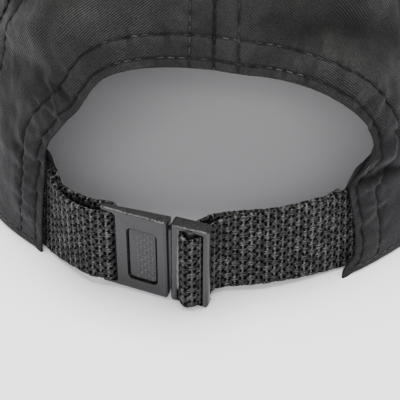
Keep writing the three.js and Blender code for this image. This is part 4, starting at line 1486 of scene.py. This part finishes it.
def rounded_block(left, right, thick, face_corner, plan_corner):
    """A block with rounded corners from the front, from above and from its ends."""
    body = prism(rounded_outline(left, right, 0, BUCKLE_HEIGHT, face_corner), 0, thick)
    plan = prism(rounded_outline(left, right, 0, thick, plan_corner), -1, BUCKLE_HEIGHT + 1, True)
    combine(body, plan, "INTERSECT")
    profile = rounded_outline(0, thick, 0, BUCKLE_HEIGHT, 0.8)
    combine(body, lengthwise(profile, left - 1, right + 1), "INTERSECT")
    return body


def cut(body, outline, front, back):
    combine(body, prism(outline, front, back), "DIFFERENCE")


def make_socket():
    body = rounded_block(SOCKET_ARM, SOCKET_RIGHT, SOCKET_THICK, 1.3, 1.1)
    slot = rounded_outline(SOCKET_ARM - 4, SOCKET_LEFT, RAIL, BUCKLE_HEIGHT - RAIL, 1.3)
    cut(body, slot, -1, SOCKET_THICK + 1)
    combine(body, bar_block(SOCKET_BAR), "UNION")
    left, bottom, top, front, back = CAVITY
    cut(body, rounded_outline(left, SOCKET_RIGHT + 2, bottom, top, 0.3), front, back)
    cut(body, rounded_outline(*WINDOW, WINDOW_CORNER), -1, front + 0.5)
    for upward in (True, False):
        combine(body, taper_block(upward), "DIFFERENCE")
    round_edges(body, 0.28)
    place_block(body, "buckle_socket_body", SOCKET_FRAME, "buckle_socket")


def make_pad_dots():
    """Staggered raised grips on the pad."""
    bm = bmesh.new()
    left, right, bottom, top = WINDOW
    columns = np.arange(-0.75, right - 0.75, 1.06)
    for n, u in enumerate(columns):
        for z in np.arange(bottom + 1.6 + (n % 2) * 1.18, top - 1.2, 2.36):
            rings = []
            for share in (0, 0.55, 0.85):
                size = np.cos(share * np.pi / 2)
                lift = 0.34 * np.sin(share * np.pi / 2)
                ring = []
                for k in range(10):
                    t = 2 * np.pi * k / 10
                    ring.append(bm.verts.new((u + 0.46 * size * np.cos(t), PAD_FRONT + 0.03 - lift,
                                              z + 0.72 * size * np.sin(t))))
                rings.append(ring)
            for low, high in zip(rings, rings[1:]):
                for k in range(10):
                    bm.faces.new((low[k], low[(k + 1) % 10], high[(k + 1) % 10], high[k]))
            bm.faces.new(rings[-1])
    return object_from(bm, "dots")


def make_tongue():
    left, bottom, top, front, back = TONGUE
    right = SOCKET_RIGHT + JOINT_GAP + TONGUE_INTO_FRAME
    plate = prism(rounded_outline(left, right, bottom, top, 0.4), front, back)
    pad = [edge + way * PAD_INSET for edge, way in zip(WINDOW, (1, -1, 1, -1))]
    pad = rounded_outline(*pad, WINDOW_CORNER - PAD_INSET)
    combine(plate, prism(pad, PAD_FRONT, back - 0.3), "UNION")
    round_edges(plate, 0.16)
    place_block(plate, "buckle_tongue_plate", SOCKET_FRAME, "buckle_tongue")
    place_block(make_pad_dots(), "buckle_pad_grips", SOCKET_FRAME, None, LIT_GRIP)


def make_slider():
    body = rounded_block(0, SLIDER_LENGTH, SLIDER_THICK, 1.4, 1.5)
    bar_left = SLIDER_LENGTH - SLIDER_RIGHT_BAR[0]
    low, high = SLIDER_BOTTOM_RAIL, BUCKLE_HEIGHT - RAIL
    cut(body, rounded_outline(SLIDER_LEFT_BAR, bar_left, low, high, 0.3), -1, SLIDER_THICK + 1)
    behind = rounded_outline(bar_left - 1, SLIDER_LENGTH + 2, low, high, 0.3)
    cut(body, behind, SLIDER_RIGHT_BAR[1], SLIDER_THICK + 1)
    combine(body, bar_block(SLIDER_BAR), "UNION")
    round_edges(body, 0.3)
    place_block(body, "buckle_slider_frame", SLIDER_FRAME, None)


make_socket()
make_tongue()
make_slider()


# floor, camera and lights, in metres but for the camera's place
FLOOR_HALF = 3.0


def add_floor():
    mesh = bpy.data.meshes.new("floor")
    corners = [(x * FLOOR_HALF, y * FLOOR_HALF, 0) for x, y in ((-1, -1), (1, -1), (1, 1), (-1, 1))]
    mesh.from_pydata(corners, [], [(0, 1, 2, 3)])
    floor = link("floor", mesh)
    look = Look("table_pale", (0.91, 0.905, 0.925), 0.6, 0.2)
    look.set("Base Color", look.mix(look.noise(60, 2), (0.935, 0.925, 0.955), (0.955, 0.945, 0.975)))
    mesh.materials.append(look.material)


def add_camera(azimuth, elevation, distance, target, lens):
    a, e = azimuth * DEG, elevation * DEG
    back = Vector((np.sin(a) * np.cos(e), -np.cos(a) * np.cos(e), np.sin(e)))
    right = Vector((np.cos(a), np.sin(a), 0))
    up = back.cross(right)
    data = bpy.data.cameras.new("camera")
    data.lens = lens
    data.sensor_width = 36
    data.clip_start = 0.01
    camera = link("camera", data)
    spot = Vector(target) * MM + back * distance * MM
    camera.matrix_world = Matrix((
        (right.x, up.x, back.x, spot.x),
        (right.y, up.y, back.y, spot.y),
        (right.z, up.z, back.z, spot.z),
        (0, 0, 0, 1),
    ))
    bpy.context.scene.camera = camera


def add_light(name, place, target, size, power):
    data = bpy.data.lights.new(name, "AREA")
    data.shape = "RECTANGLE"
    data.size, data.size_y = size
    data.energy = power
    light = link(name, data)
    light.location = place
    light.rotation_euler = (Vector(target) - Vector(place)).to_track_quat("-Z", "Y").to_euler()


add_floor()
add_camera(azimuth=1.5, elevation=38.5, distance=480, target=(-3.6, -72.6 + CAP_Y, 15), lens=155.5)
add_light("top_softbox", place=(0.05, 0.1, 1.1), target=(0, -0.05, 0), size=(1.1, 0.9), power=30)
add_light("camera_softbox", place=(-0.08, -1.1, 0.58), target=(0, -0.08, 0.02), size=(0.9, 0.5), power=10.5)

world = bpy.data.worlds.new("studio")
bpy.context.scene.world = world
world.use_nodes = True
world.node_tree.nodes["Background"].inputs["Color"].default_value = (0.9, 0.9, 0.92, 1)
world.node_tree.nodes["Background"].inputs["Strength"].default_value = 0.9
